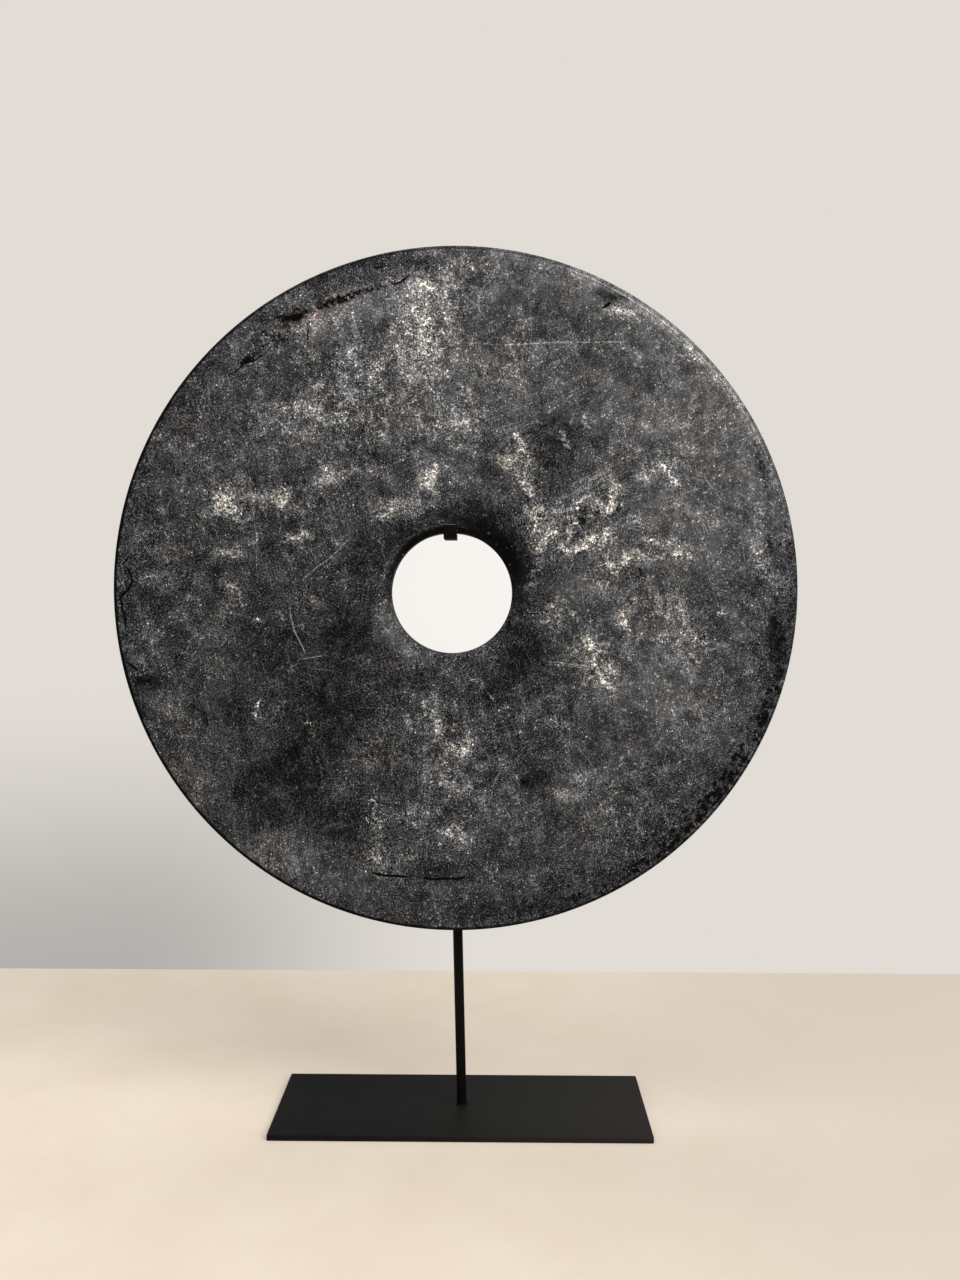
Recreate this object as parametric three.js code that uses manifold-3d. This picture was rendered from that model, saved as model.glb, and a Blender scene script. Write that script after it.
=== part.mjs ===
// Jade bi disc on its steel display stand.
//
// A flat ring of dark stone hangs by the top edge of its hole on a short steel hook. The
// hook is welded inside a round steel ring that hides behind the stone, the ring stands
// on a thin rod, and the rod stands on a rectangular plate. The rod leans a little to
// the left, as the hand-welded stand does.
//
// Millimetres, +Z up. The disc faces -Y, and the origin is the middle of the underside
// of the plate.

import * as THREE from 'three';
import { mergeVertices } from 'three/addons/utils/BufferGeometryUtils.js';
import Module from 'manifold-3d';

const wasm = await Module();
wasm.setup();

// ---- Driving dimensions ----

// The stone: a disc ground flat on both faces, with a drilled hole a little off centre.
const DISC_RADIUS = 171;
const DISC_THICKNESS = 12;
const DISC_CENTRE = { x: -3.9, z: 269.2 };
const DISC_SIDES = 96;
const HOLE_RADIUS = 30.4;
const HOLE_CENTRE = { x: -5.6, z: 268.6 };

// How far each edge of the stone is worn back: across its face, and down its wall.
const HOLE_FRONT_WEAR = { across: 5, down: 1.8 };
const HOLE_BACK_WEAR = { across: 2, down: 1 };
const RIM_FRONT_WEAR = { across: 1.6, down: 1.4 };
const RIM_BACK_WEAR = { across: 1.2, down: 1.2 };
const WEAR_STEPS = 4;

// The plate: cut from sheet, with its corners and edges just taken off.
const PLATE_WIDTH = 190;
const PLATE_DEPTH = 75;
const PLATE_THICKNESS = 3;
const PLATE_CORNER = 0.8;
const PLATE_CORNER_STEPS = 3;
const PLATE_EDGE_BREAK = 0.3;

// The round stock of the rod and the ring. The rod's foot is at the middle of the plate.
const ROD_RADIUS = 2.5;
const ROD_SIDES = 16;
const RING_RADIUS = 36;
const RING_SIDES = 64;
const RING_CENTRE = { x: -5.8, z: 265.4 };

// The flat stock of the hook, bent up in front of the stone to make a lip.
const HOOK_WIDTH = 6.4;
const HOOK_THICKNESS = 3.1;
const HOOK_X = -6.3;
const HOOK_TOP = 298.6;
const HOOK_BEND = 0.8;
const HOOK_BEND_STEPS = 6;
const LIP_TOP = 302.8;
const LIP_GAP = 0.6;

// The space left between two pieces that touch.
const FIT_GAP = 0.3;

// ---- Materials ----

const stone = new THREE.MeshStandardMaterial({ color: 0x3a3b3f, roughness: 0.5, metalness: 0 });
const blackSteel = new THREE.MeshStandardMaterial({ color: 0x191817, roughness: 0.45, metalness: 0.3 });

// ---- Helpers ----

const QUARTER_TURN = Math.PI / 2;

// One worn edge of the stone's section: a quarter of an ellipse about `middle`, from one
// quarter turn to the next.
function wornEdge(middle, wear, firstQuarter) {
  const arc = [];
  for (let step = 0; step <= WEAR_STEPS; step += 1) {
    const turn = (firstQuarter + step / WEAR_STEPS) * QUARTER_TURN;
    arc.push(new THREE.Vector2(
      middle.radius + wear.across * Math.cos(turn),
      middle.level + wear.down * Math.sin(turn),
    ));
  }
  return arc;
}

// A rectangle with rounded corners, drawn anticlockwise about the origin.
function roundedRectangle(width, depth, radius) {
  const outline = new THREE.Shape();
  const corners = [[1, -1], [1, 1], [-1, 1], [-1, -1]];
  corners.forEach(([sideX, sideY], corner) => {
    const start = (corner - 1) * QUARTER_TURN;
    outline.absarc(
      sideX * (width / 2 - radius),
      sideY * (depth / 2 - radius),
      radius,
      start,
      start + QUARTER_TURN,
    );
  });
  return outline;
}

// A geometry with its shared corners merged, as a solid that can be cut.
function toSolid(geometry) {
  geometry.deleteAttribute('normal');
  geometry.deleteAttribute('uv');
  const merged = mergeVertices(geometry);
  return new wasm.Manifold(new wasm.Mesh({
    numProp: 3,
    vertProperties: new Float32Array(merged.attributes.position.array),
    triVerts: new Uint32Array(merged.index.array),
  }));
}

function fromSolid(solid) {
  const mesh = solid.getMesh();
  const geometry = new THREE.BufferGeometry();
  geometry.setAttribute('position', new THREE.BufferAttribute(mesh.vertProperties, 3));
  geometry.setIndex(new THREE.BufferAttribute(mesh.triVerts, 1));
  geometry.computeVertexNormals();
  return geometry;
}

function namedMesh(name, geometry, material) {
  const mesh = new THREE.Mesh(geometry, material);
  mesh.name = name;
  return mesh;
}

// ---- The stone ----

// The section on one side of the axis, round all four worn edges and back to the start.
// Levels run along the axis: 0 is the back face.
function discSection() {
  const front = -DISC_THICKNESS;
  const holeFront = {
    radius: HOLE_RADIUS + HOLE_FRONT_WEAR.across,
    level: front + HOLE_FRONT_WEAR.down,
  };
  const rimFront = {
    radius: DISC_RADIUS - RIM_FRONT_WEAR.across,
    level: front + RIM_FRONT_WEAR.down,
  };
  const rimBack = {
    radius: DISC_RADIUS - RIM_BACK_WEAR.across,
    level: -RIM_BACK_WEAR.down,
  };
  const holeBack = {
    radius: HOLE_RADIUS + HOLE_BACK_WEAR.across,
    level: -HOLE_BACK_WEAR.down,
  };
  const section = [
    ...wornEdge(holeFront, HOLE_FRONT_WEAR, 2),
    ...wornEdge(rimFront, RIM_FRONT_WEAR, 3),
    ...wornEdge(rimBack, RIM_BACK_WEAR, 0),
    ...wornEdge(holeBack, HOLE_BACK_WEAR, 1),
  ];
  section.push(section[0].clone());
  return section;
}

// A turned ring has its hole in the middle. This one was drilled off centre, so each
// point slides towards the hole's own centre by its share of the way in from the rim.
function discGeometry() {
  const geometry = new THREE.LatheGeometry(discSection(), DISC_SIDES);
  const points = geometry.attributes.position;
  const slideX = HOLE_CENTRE.x - DISC_CENTRE.x;
  const slideZ = HOLE_CENTRE.z - DISC_CENTRE.z;
  for (let index = 0; index < points.count; index += 1) {
    const x = points.getX(index);
    const z = points.getZ(index);
    const share = (DISC_RADIUS - Math.hypot(x, z)) / (DISC_RADIUS - HOLE_RADIUS);
    points.setX(index, x + share * slideX);
    points.setZ(index, z + share * slideZ);
  }
  geometry.translate(DISC_CENTRE.x, -ROD_RADIUS - FIT_GAP, DISC_CENTRE.z);
  return geometry;
}

// ---- The stand ----

// The plate is extruded upwards, and its bevels break the top and bottom edges.
function plateGeometry() {
  const outline = roundedRectangle(
    PLATE_WIDTH - 2 * PLATE_EDGE_BREAK,
    PLATE_DEPTH - 2 * PLATE_EDGE_BREAK,
    PLATE_CORNER,
  );
  const geometry = new THREE.ExtrudeGeometry(outline, {
    depth: PLATE_THICKNESS - 2 * PLATE_EDGE_BREAK,
    bevelThickness: PLATE_EDGE_BREAK,
    bevelSize: PLATE_EDGE_BREAK,
    bevelSegments: 1,
    curveSegments: PLATE_CORNER_STEPS,
  });
  geometry.translate(0, 0, PLATE_EDGE_BREAK);
  return geometry;
}

// Round stock bent into a ring that stands upright behind the stone.
function ringGeometry(stockRadius) {
  const geometry = new THREE.TorusGeometry(RING_RADIUS, stockRadius, ROD_SIDES, RING_SIDES);
  geometry.rotateX(QUARTER_TURN);
  geometry.translate(RING_CENTRE.x, 0, RING_CENTRE.z);
  return geometry;
}

// The rod leans by a shear, so that its foot stays flat on the plate. Its top is coped
// to sit under the ring.
function rodGeometry() {
  const length = RING_CENTRE.z - RING_RADIUS - PLATE_THICKNESS;
  const lean = RING_CENTRE.x / length;
  const rod = new THREE.CylinderGeometry(ROD_RADIUS, ROD_RADIUS, length, ROD_SIDES);
  rod.rotateX(QUARTER_TURN);
  rod.translate(0, 0, length / 2);
  const points = rod.attributes.position;
  for (let index = 0; index < points.count; index += 1) {
    points.setX(index, points.getX(index) + lean * points.getZ(index));
  }
  rod.translate(0, 0, PLATE_THICKNESS);
  const cope = toSolid(ringGeometry(ROD_RADIUS + FIT_GAP));
  return fromSolid(toSolid(rod).subtract(cope));
}

// The strip is drawn from the side, as forward and up, and extruded across its width. It
// runs from under the ring through the hole and turns up in front of the stone.
function hookGeometry() {
  const lipBack = -(ROD_RADIUS + FIT_GAP + DISC_THICKNESS + LIP_GAP);
  const lipFront = lipBack - HOOK_THICKNESS;
  const bottom = HOOK_TOP - HOOK_THICKNESS;
  const outerBend = HOOK_BEND + HOOK_THICKNESS;
  const bendY = lipBack + HOOK_BEND;
  const bendZ = HOOK_TOP + HOOK_BEND;
  const side = new THREE.Shape();
  side.moveTo(ROD_RADIUS, bottom);
  side.lineTo(ROD_RADIUS, HOOK_TOP);
  side.absarc(bendY, bendZ, HOOK_BEND, 3 * QUARTER_TURN, 2 * QUARTER_TURN, true);
  side.lineTo(lipBack, LIP_TOP);
  side.lineTo(lipFront, LIP_TOP);
  side.absarc(bendY, bendZ, outerBend, 2 * QUARTER_TURN, 3 * QUARTER_TURN);
  const geometry = new THREE.ExtrudeGeometry(side, {
    depth: HOOK_WIDTH,
    bevelEnabled: false,
    curveSegments: HOOK_BEND_STEPS,
  });
  // Forward, up and across on the drawing become Y, Z and X.
  const turn = new THREE.Matrix4().makeBasis(
    new THREE.Vector3(0, 1, 0),
    new THREE.Vector3(0, 0, 1),
    new THREE.Vector3(1, 0, 0),
  );
  geometry.applyMatrix4(turn);
  geometry.translate(HOOK_X - HOOK_WIDTH / 2, 0, 0);
  return geometry;
}

// ---- The whole object ----

const biDisc = new THREE.Group();
biDisc.add(
  namedMesh('jade_disc', discGeometry(), stone),
  namedMesh('base_plate', plateGeometry(), blackSteel),
  namedMesh('rod', rodGeometry(), blackSteel),
  namedMesh('support_ring', ringGeometry(ROD_RADIUS), blackSteel),
  namedMesh('hook', hookGeometry(), blackSteel),
);

export default biDisc;
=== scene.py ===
# %% [markdown]
# # A jade bi disc on its steel stand
#
# A bi is a flat ring of stone, ground and polished by hand, that was laid in tombs in ancient
# China. This one is a dark, almost black nephrite. Centuries underground have left pale mineral
# specks, cream crusts and fine scratches on it. It hangs by the top of its hole on a small black
# steel hook, and a thin rod carries it above a flat plate.
#
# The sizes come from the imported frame. This lesson gives each piece of the frame a finished
# surface: it builds the stone's real edges, cracks and pits as a mesh, paints its minerals with
# shader nodes, and then does the same, more quietly, for the black steel.

# %% Load the frame
import math

import bmesh
import bpy
import numpy as np
from mathutils import Matrix, Vector, noise


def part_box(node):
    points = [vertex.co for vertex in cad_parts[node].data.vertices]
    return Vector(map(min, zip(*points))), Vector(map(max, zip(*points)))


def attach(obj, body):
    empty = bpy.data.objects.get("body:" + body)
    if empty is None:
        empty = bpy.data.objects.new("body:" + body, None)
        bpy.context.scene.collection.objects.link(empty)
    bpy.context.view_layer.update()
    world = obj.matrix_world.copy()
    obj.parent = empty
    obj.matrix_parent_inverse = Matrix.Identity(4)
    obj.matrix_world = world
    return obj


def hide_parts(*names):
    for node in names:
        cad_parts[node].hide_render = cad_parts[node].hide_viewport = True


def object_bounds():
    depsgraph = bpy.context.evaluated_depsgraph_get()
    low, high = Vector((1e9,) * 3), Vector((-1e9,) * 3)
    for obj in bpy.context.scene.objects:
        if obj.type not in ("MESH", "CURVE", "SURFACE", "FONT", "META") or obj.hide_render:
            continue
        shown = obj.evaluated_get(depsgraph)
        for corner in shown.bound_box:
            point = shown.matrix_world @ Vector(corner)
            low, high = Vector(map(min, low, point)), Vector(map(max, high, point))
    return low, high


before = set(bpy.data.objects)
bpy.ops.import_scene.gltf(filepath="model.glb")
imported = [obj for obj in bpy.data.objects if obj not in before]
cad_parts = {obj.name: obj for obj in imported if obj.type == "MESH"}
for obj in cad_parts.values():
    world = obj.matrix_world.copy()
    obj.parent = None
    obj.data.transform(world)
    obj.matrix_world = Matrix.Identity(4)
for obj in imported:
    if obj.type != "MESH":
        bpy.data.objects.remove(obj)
cad_low, cad_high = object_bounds()
MM = 0.001
print("frame box in mm:", [round(v / MM, 1) for v in (*cad_low, *cad_high)])

# %% [markdown]
# ## The camera
#
# The camera stands about 60 cm in front of the disc, level with the middle of the stone, and
# looks a little down. A lens of about 34 mm takes in the disc, the rod and the whole plate.
# The three turns are written one by one, so that each can be read as a person would say it:
# turn left, tip down, tilt sideways.

# %% Place the camera
EYE = Vector((0.01399, -0.61401, 0.27085))
TURN_LEFT = math.radians(0.497)
TIP_DOWN = math.radians(2.44)
TILT = math.radians(0.195)
LENS = 33.75


def add_to_scene(name, data):
    """A new object that carries this camera, lamp or mesh."""
    added = bpy.data.objects.new(name, data)
    bpy.context.scene.collection.objects.link(added)
    return added


camera_data = bpy.data.cameras.new("camera")
camera_data.lens = LENS
camera_data.sensor_width = 36
camera_data.clip_start = 0.01
camera = add_to_scene("camera", camera_data)
turned = Matrix.Rotation(TURN_LEFT, 4, "Z") @ Matrix.Rotation(math.pi / 2 - TIP_DOWN, 4, "X")
camera.matrix_world = Matrix.Translation(EYE) @ turned @ Matrix.Rotation(TILT, 4, "Z")
bpy.context.scene.camera = camera
print("camera at", [round(v, 3) for v in EYE])

# %% [markdown]
# ## Light
#
# A white room gives soft light from all sides. A large window to the upper right gives most of
# the rest, and a ceiling and a far wall on the left fill in the shadows. Black stone shows every
# reflection, so how the light is split matters more than how much there is: the all-round light
# is kept low and the window strong, because a dark polished face that mirrors a bright room
# looks grey. A pale shell far away is what the camera sees behind the object. It gives no
# light, so it can be as pale as the room looks to the eye. The view transform is the plain one,
# so that a colour mixed here comes out as it was mixed.

# %% Light the room
bpy.context.scene.view_settings.view_transform = "Standard"
ROOM_LIGHT = (0.29, 0.289, 0.287, 1)
world = bpy.data.worlds.new("white_room")
world.use_nodes = True
world.node_tree.nodes["Background"].inputs["Color"].default_value = ROOM_LIGHT
bpy.context.scene.world = world


def soft_lamp(name, place, target, size, power, colour):
    """A square lamp at a place, turned towards a target."""
    data = bpy.data.lights.new(name, "AREA")
    data.size = size
    data.energy = power
    data.color = colour
    lamp = add_to_scene(name, data)
    aim = (Vector(target) - Vector(place)).to_track_quat("-Z", "Y")
    lamp.matrix_world = Matrix.Translation(place) @ aim.to_matrix().to_4x4()


STONE_MIDDLE = (cad_low + cad_high) / 2
soft_lamp("window", (1.42, -1.28, 1.47), STONE_MIDDLE, 1.65, 39.0, (1.0, 0.998, 0.995))
soft_lamp("ceiling", (-0.1, -0.1, 1.9), STONE_MIDDLE, 1.8, 26.0, (1.0, 0.998, 0.99))
soft_lamp("far_wall", (-1.5, -0.9, 0.7), STONE_MIDDLE, 1.4, 6.0, (1.0, 0.998, 0.995))

# %% [markdown]
# ## Shader maths
#
# A material is a graph of nodes, but a graph is hard to read as text. This class wraps one
# output of a node. Adding or multiplying two of them adds the Math node that does it, so a
# mask can be written as an ordinary sum. Every other node comes from the one method `node`.
# Colours go through Mix and Vector Math nodes, because a Math node would turn a colour grey.

# %% A socket that can be used in sums
class Wire:
    """One output of a shader node."""

    def __init__(self, tree, socket):
        self.tree = tree
        self.socket = socket

    def node(self, kind, settings, sockets, output=0):
        """Adds a node with these settings, feeds its sockets, and gives one of its outputs."""
        made = self.tree.nodes.new("ShaderNode" + kind)
        for name, value in settings.items():
            setattr(made, name, value)
        for name, value in sockets.items():
            if isinstance(value, Wire):
                self.tree.links.new(value.socket, made.inputs[name])
            else:
                made.inputs[name].default_value = value
        return Wire(self.tree, made.outputs[output])

    def maths(self, operation, first, second):
        return self.node("Math", {"operation": operation}, {0: first, 1: second})

    def __add__(self, other):
        return self.maths("ADD", self, other)

    def __radd__(self, other):
        return self.maths("ADD", other, self)

    def __sub__(self, other):
        return self.maths("SUBTRACT", self, other)

    def __rsub__(self, other):
        return self.maths("SUBTRACT", other, self)

    def __mul__(self, other):
        return self.maths("MULTIPLY", self, other)

    def __rmul__(self, other):
        return self.maths("MULTIPLY", other, self)

    def __pow__(self, other):
        return self.maths("POWER", self, other)

    def __abs__(self):
        return self.maths("ABSOLUTE", self, 0.0)

    def least(self, other):
        return self.maths("MINIMUM", self, other)

    def most(self, other):
        return self.maths("MAXIMUM", self, other)

    def ramp(self, start, end, low=0.0, high=1.0):
        """Goes smoothly from low to high as this value goes from start to end."""
        sockets = {"Value": self, "From Min": start, "From Max": end, "To Min": low, "To Max": high}
        return self.node("MapRange", {"interpolation_type": "SMOOTHSTEP"}, sockets)

    def blend(self, first, second):
        """Mixes two colours, with this value as the share of the second."""
        return self.node("Mix", {"data_type": "RGBA"}, {0: self, 6: first, 7: second}, 2)

    def noise(self, size, detail=2.0, roughness=0.5, warp=0.0):
        """A cloudy value from 0 to 1, on this place, with lumps of about that size."""
        sockets = {"Vector": self, "Scale": 1 / size, "Detail": detail}
        sockets.update({"Roughness": roughness, "Distortion": warp})
        return self.node("TexNoise", {}, sockets)

    def shaken(self, size, amount):
        """This place, pushed about by noise, so that a regular texture turns ragged."""
        push = self.node("TexNoise", {}, {"Vector": self, "Scale": 1 / size, "Detail": 3.0}, 1)
        centred = push.node("VectorMath", {"operation": "SUBTRACT"}, {0: push, 1: (0.5, 0.5, 0.5)})
        pushed = {0: centred, 1: (amount, amount, amount), 2: self}
        return self.node("VectorMath", {"operation": "MULTIPLY_ADD"}, pushed)

    def net_lines(self, size):
        """How far this place is from the edge of its cell, in a net of cells of that size."""
        settings = {"feature": "DISTANCE_TO_EDGE"}
        return self.node("TexVoronoi", settings, {"Vector": self, "Scale": 1 / size})

    def shards(self, size):
        """A random value from 0 to 1 for each angular grain of about that size."""
        cells = self.node("TexVoronoi", {}, {"Vector": self, "Scale": 1 / size}, 1)
        return cells.node("SeparateColor", {}, {0: cells})

    def grains(self, size, share):
        """Small blunt grains, each of its own brightness, on that share of the cells of a net."""
        gap = self.node("TexVoronoi", {}, {"Vector": self, "Scale": 1 / size})
        cell = Wire(self.tree, gap.socket.node.outputs["Color"])
        brightness = cell.node("SeparateColor", {}, {0: cell})
        return gap.ramp(0.36, 0.20) * brightness.ramp(1 - share, 1.02)

    def moved(self, turn=(0, 0, 0), scale=(1, 1, 1), shift=(0, 0, 0)):
        """This place, turned and stretched, for a texture that runs in one direction."""
        angles = tuple(math.radians(angle) for angle in turn)
        sockets = {"Vector": self, "Location": shift, "Rotation": angles, "Scale": scale}
        return self.node("Mapping", {"vector_type": "POINT"}, sockets)

    def along(self, axis):
        """One coordinate of this place in mm: 0 is across, 1 back and 2 up."""
        return self.node("SeparateXYZ", {}, {0: self}, axis)

    def attribute(self, name):
        """A value that was written on the points of the mesh."""
        return self.node("Attribute", {"attribute_name": name}, {}, 2)


def new_finish(name, specular):
    """An empty material: its shader, and a Wire that gives the place on the object in mm."""
    material = bpy.data.materials.new(name)
    material.use_nodes = True
    tree = material.node_tree
    shader = tree.nodes["Principled BSDF"]
    shader.inputs["Specular IOR Level"].default_value = specular
    place = Wire(tree, tree.nodes.new("ShaderNodeTexCoord").outputs["Object"])
    place = place.node("VectorMath", {"operation": "SCALE"}, {0: place, "Scale": 1 / MM})
    return material, shader, place


def wear_finish(shader, colour, roughness, height, depth_mm):
    """Feeds the shader with a colour, a roughness and a height that the bump follows."""
    bump = height.node("Bump", {}, {"Height": height, "Distance": depth_mm * MM, "Strength": 1.0})
    height.tree.links.new(colour.socket, shader.inputs["Base Color"])
    height.tree.links.new(roughness.socket, shader.inputs["Roughness"])
    height.tree.links.new(bump.socket, shader.inputs["Normal"])


print("shader helpers ready")

# %% [markdown]
# ## The shape of the stone
#
# The disc was sawn from a boulder and ground flat, and its hole was drilled with a tube and
# sand. The section through the ring is worked out once, as a list of stations: each has a share
# of the way from the hole to the rim, and a depth below the front face. Turning the section
# round the disc gives the mesh. The hole is a little off centre, so the sections stretch to fit.
#
# The worn edges are quarter ovals, because a hand-ground edge is rounder across the face than
# down the wall. Near the rim the stations are close, so that grinding lines can be cut there.

# %% Measure the stone and its hole
stone_low, stone_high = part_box("jade_disc")
RIM_RADIUS = (stone_high.x - stone_low.x) / 2 / MM
THICKNESS = (stone_high.y - stone_low.y) / MM
FRONT_FACE = stone_low.y / MM
DISC_X = (stone_low.x + stone_high.x) / 2 / MM
DISC_Z = (stone_low.z + stone_high.z) / 2 / MM
HOLE_RADIUS = 30.4
HOLE_OFF_CENTRE = Vector((-1.7, -0.6))
RING_WIDTH = RIM_RADIUS - HOLE_RADIUS
print("rim radius", round(RIM_RADIUS, 2), "thickness", round(THICKNESS, 2), "mm")

# %% Work out the section of the ring
SECTORS = 576
FACE_STATIONS = 80
BACK_STATIONS = 18
RIM_BAND = np.arange(5.1, 1.7, -0.3)
# How far each edge is worn back, in mm: across the face, and down the wall.
HOLE_FRONT_WEAR = (5, 1.8)
RIM_FRONT_WEAR = (1.6, 1.4)
RIM_BACK_WEAR = (1.2, 1.2)
HOLE_BACK_WEAR = (2, 1)


def worn_edge(across, down, steps):
    """A worn edge as (distance in from the wall, depth below the face), from face to wall."""
    turns = [math.pi / 2 * step / steps for step in range(steps + 1)]
    return [(across * (1 - math.sin(turn)), down * (1 - math.cos(turn))) for turn in turns]


def stations():
    """The closed section of the ring: (share of the way from the hole to the rim, depth)."""
    hole_front = [
        (inset / RING_WIDTH, depth) for inset, depth in reversed(worn_edge(*HOLE_FRONT_WEAR, 7))
    ]
    face_ends = (6.5, RING_WIDTH - 5.5)
    face = [(inset / RING_WIDTH, 0.0) for inset in np.linspace(*face_ends, FACE_STATIONS)]
    lines = [(1 - inset / RING_WIDTH, 0.0) for inset in RIM_BAND]
    rim_front = [(1 - inset / RING_WIDTH, depth) for inset, depth in worn_edge(*RIM_FRONT_WEAR, 6)]
    wall_ends = (RIM_FRONT_WEAR[1], THICKNESS - RIM_BACK_WEAR[1])
    wall = [(1.0, depth) for depth in np.linspace(*wall_ends, 4)[1:-1]]
    rim_back = [
        (1 - inset / RING_WIDTH, THICKNESS - depth)
        for inset, depth in reversed(worn_edge(*RIM_BACK_WEAR, 4))
    ]
    back_ends = (RING_WIDTH - 5, 6)
    back = [(inset / RING_WIDTH, THICKNESS) for inset in np.linspace(*back_ends, BACK_STATIONS)]
    hole_back = [
        (inset / RING_WIDTH, THICKNESS - depth) for inset, depth in worn_edge(*HOLE_BACK_WEAR, 4)
    ]
    drilled_ends = (THICKNESS - HOLE_BACK_WEAR[1], HOLE_FRONT_WEAR[1])
    drilled = [(0.0, depth) for depth in np.linspace(*drilled_ends, 5)[1:-1]]
    return hole_front + face + lines + rim_front + wall + rim_back + back + hole_back + drilled


section = stations()
print("stations round the section:", len(section))

# %% [markdown]
# Every piece in this lesson is woven the same way: rings of points, each with the same number of
# points, and four-sided faces from each ring to the next. The stone, the plate and the bars
# differ only in how their rings of points are laid, so they share these helpers.

# %% Helpers that weave a mesh


def bridge(rings, around, closed):
    """Faces between rings of points. An open run of rings is closed at its ends by a fan."""
    faces = []
    for ring in range(rings if closed else rings - 1):
        following = (ring + 1) % rings
        for side in range(around):
            beside = (side + 1) % around
            faces.append((ring * around + side, ring * around + beside,
                          following * around + beside, following * around + side))
    if not closed:
        faces.append(tuple(range(around)))
        faces.append(tuple(range((rings - 1) * around, rings * around)))
    return faces


def woven(points, faces):
    """An open shape, still to be worked on, from points and the faces between them."""
    shape = bmesh.new()
    verts = [shape.verts.new(point) for point in points]
    for face in faces:
        shape.faces.new([verts[index] for index in face])
    return shape


def as_mesh(name, shape):
    """The finished shape as a mesh, with its faces turned outwards."""
    bmesh.ops.recalc_face_normals(shape, faces=shape.faces)
    mesh = bpy.data.meshes.new(name)
    shape.to_mesh(mesh)
    shape.free()
    return mesh


def mesh_from(name, points, faces):
    """A mesh in metres from points in millimetres."""
    return as_mesh(name, woven([Vector(point) * MM for point in points], faces))


print("weaving helpers ready")

# %% Turn the section round the disc


def ring_points(section):
    """Points in mm about the middle of the disc: across, depth below the front face, up."""
    turns = np.arange(SECTORS) / SECTORS * 2 * math.pi
    round_x, round_z = np.cos(turns), np.sin(turns)
    rings = []
    for share, depth in section:
        radius = HOLE_RADIUS + RING_WIDTH * share
        across = radius * round_x + HOLE_OFF_CENTRE.x * (1 - share)
        up = radius * round_z + HOLE_OFF_CENTRE.y * (1 - share)
        rings.append(np.column_stack([across, np.full(SECTORS, depth), up]))
    return np.concatenate(rings)


points = ring_points(section)
faces = bridge(len(section), SECTORS, closed=True)
print("points", len(points), "faces", len(faces))

# %% [markdown]
# ## Cracks, pits and lost flakes
#
# These are where the eye goes first, so each is given one by one, in millimetres from the
# middle of the disc: across, then up. A crack is a few corners joined by straight lines. One helper
# gives the distance from every point to the nearest line, with a sign for the side it lies on,
# and it serves the cracks, the scratches and the mineral veins alike. The sign matters: it
# lets a line run clean through the middle of a mesh cell when the shader draws it.

# %% Distance to drawn lines


def nearest_line(flat, lines):
    """Signed distance to the nearest line, the gap to its edge, and that line's strength."""
    gap = np.full(len(flat), 1e3)
    offset = gap.copy()
    strength = np.zeros(len(flat))
    for half_width, line_strength, *corners in lines:
        for start, end in zip(corners, corners[1:]):
            way = np.subtract(end, start)
            reach = flat - np.array(start)
            share = np.clip(reach @ way / (way @ way), 0, 1)
            distance = np.linalg.norm(reach - share[:, None] * way, axis=1)
            side = np.where(reach[:, 0] * way[1] - reach[:, 1] * way[0] < 0, -1.0, 1.0)
            closer = distance - half_width < gap
            gap[closer] = distance[closer] - half_width
            offset[closer] = (side * distance)[closer]
            strength[closer] = line_strength
    return offset, gap, strength


CRACKS = [
    (0, 1.0, (-40, -142.0), (-36, -143.0), (-31, -143.3), (-23.5, -143.6)),
    (0, 0.25, (-23.5, -143.6), (-19, -143.2), (-15.5, -144.0)),
    (0, 1.0, (-15.5, -144.0), (-10, -144.8), (-4, -144.3), (2, -144.6), (5, -143.7)),
    (0, 0.6, (-163, 17), (-166, 13.5)),
    (0, 1.0, (-163.4, 10.5), (-161.8, 7.5), (-161.4, 4.5), (-163, 1), (-165.5, -1.2), (-168, -4)),
    (0, 0.8, (-164, -36), (-161.5, -38), (-159.5, -39.5)),
    (0, 0.8, (73.0, 140.6), (74.6, 141.2), (76.2, 142.8)),
    (0, 0.45, (-112.4, 107.2), (-108, 110), (-104, 113.2), (-99.5, 114.6), (-96.3, 116.5)),
    (0, 0.3, (-96.3, 116.5), (-92.4, 120), (-88.5, 123.5), (-84, 125), (-79, 127), (-76, 126.5)),
    (0, 0.5, (-73, 129.5), (-73.3, 125)), (0, 0.2, (-62, 130), (-52, 132.6), (-43, 133.6)),
    (0, 0.5, (-39, 160), (-36, 160.4)),
    (0, 0.45, (-31, 151.8), (-28, 152.6), (-25, 154.4), (-23, 156)),
    (0, 0.15, (-43, 133.6), (-36, 132.4), (-32, 131)), (0, 0.4, (-163, -52), (-160, -56)),
    (0, 0.8, (-167.2, -4.7), (-166.5, -9.2), (-165, -13), (-165, -17.5)),
]
print("cracks:", len(CRACKS))

# %% Cut finer cells where the cracks run
CRACK_REACH = 1.5
FRONT_SKIN = 0.7


def refined_mesh(points, faces):
    """The ring as a mesh, with each cell near a crack on the front face cut in nine."""
    shape = woven(points, faces)
    shape.faces.ensure_lookup_table()
    middles = np.array([face.calc_center_median() for face in shape.faces])
    offset, _, _ = nearest_line(middles[:, [0, 2]], CRACKS)
    beside_crack = (abs(offset) < CRACK_REACH) & (middles[:, 1] < FRONT_SKIN)
    near = [shape.faces[index] for index in np.flatnonzero(beside_crack)]
    edges = list({edge for face in near for edge in face.edges})
    bmesh.ops.subdivide_edges(shape, edges=edges, cuts=2, use_grid_fill=True)
    return as_mesh("jade_disc_stone", shape)


stone_mesh = refined_mesh(points, faces)
print("points after refining:", len(stone_mesh.vertices))

# %% [markdown]
# The pits and lost flakes are soft ovals. Each is given by its place, its half width and half
# height, its tilt in degrees and how strong it is. The same kind of oval places the mineral
# clouds later on.

# %% Pits, flakes and grinding lines as depth


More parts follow.
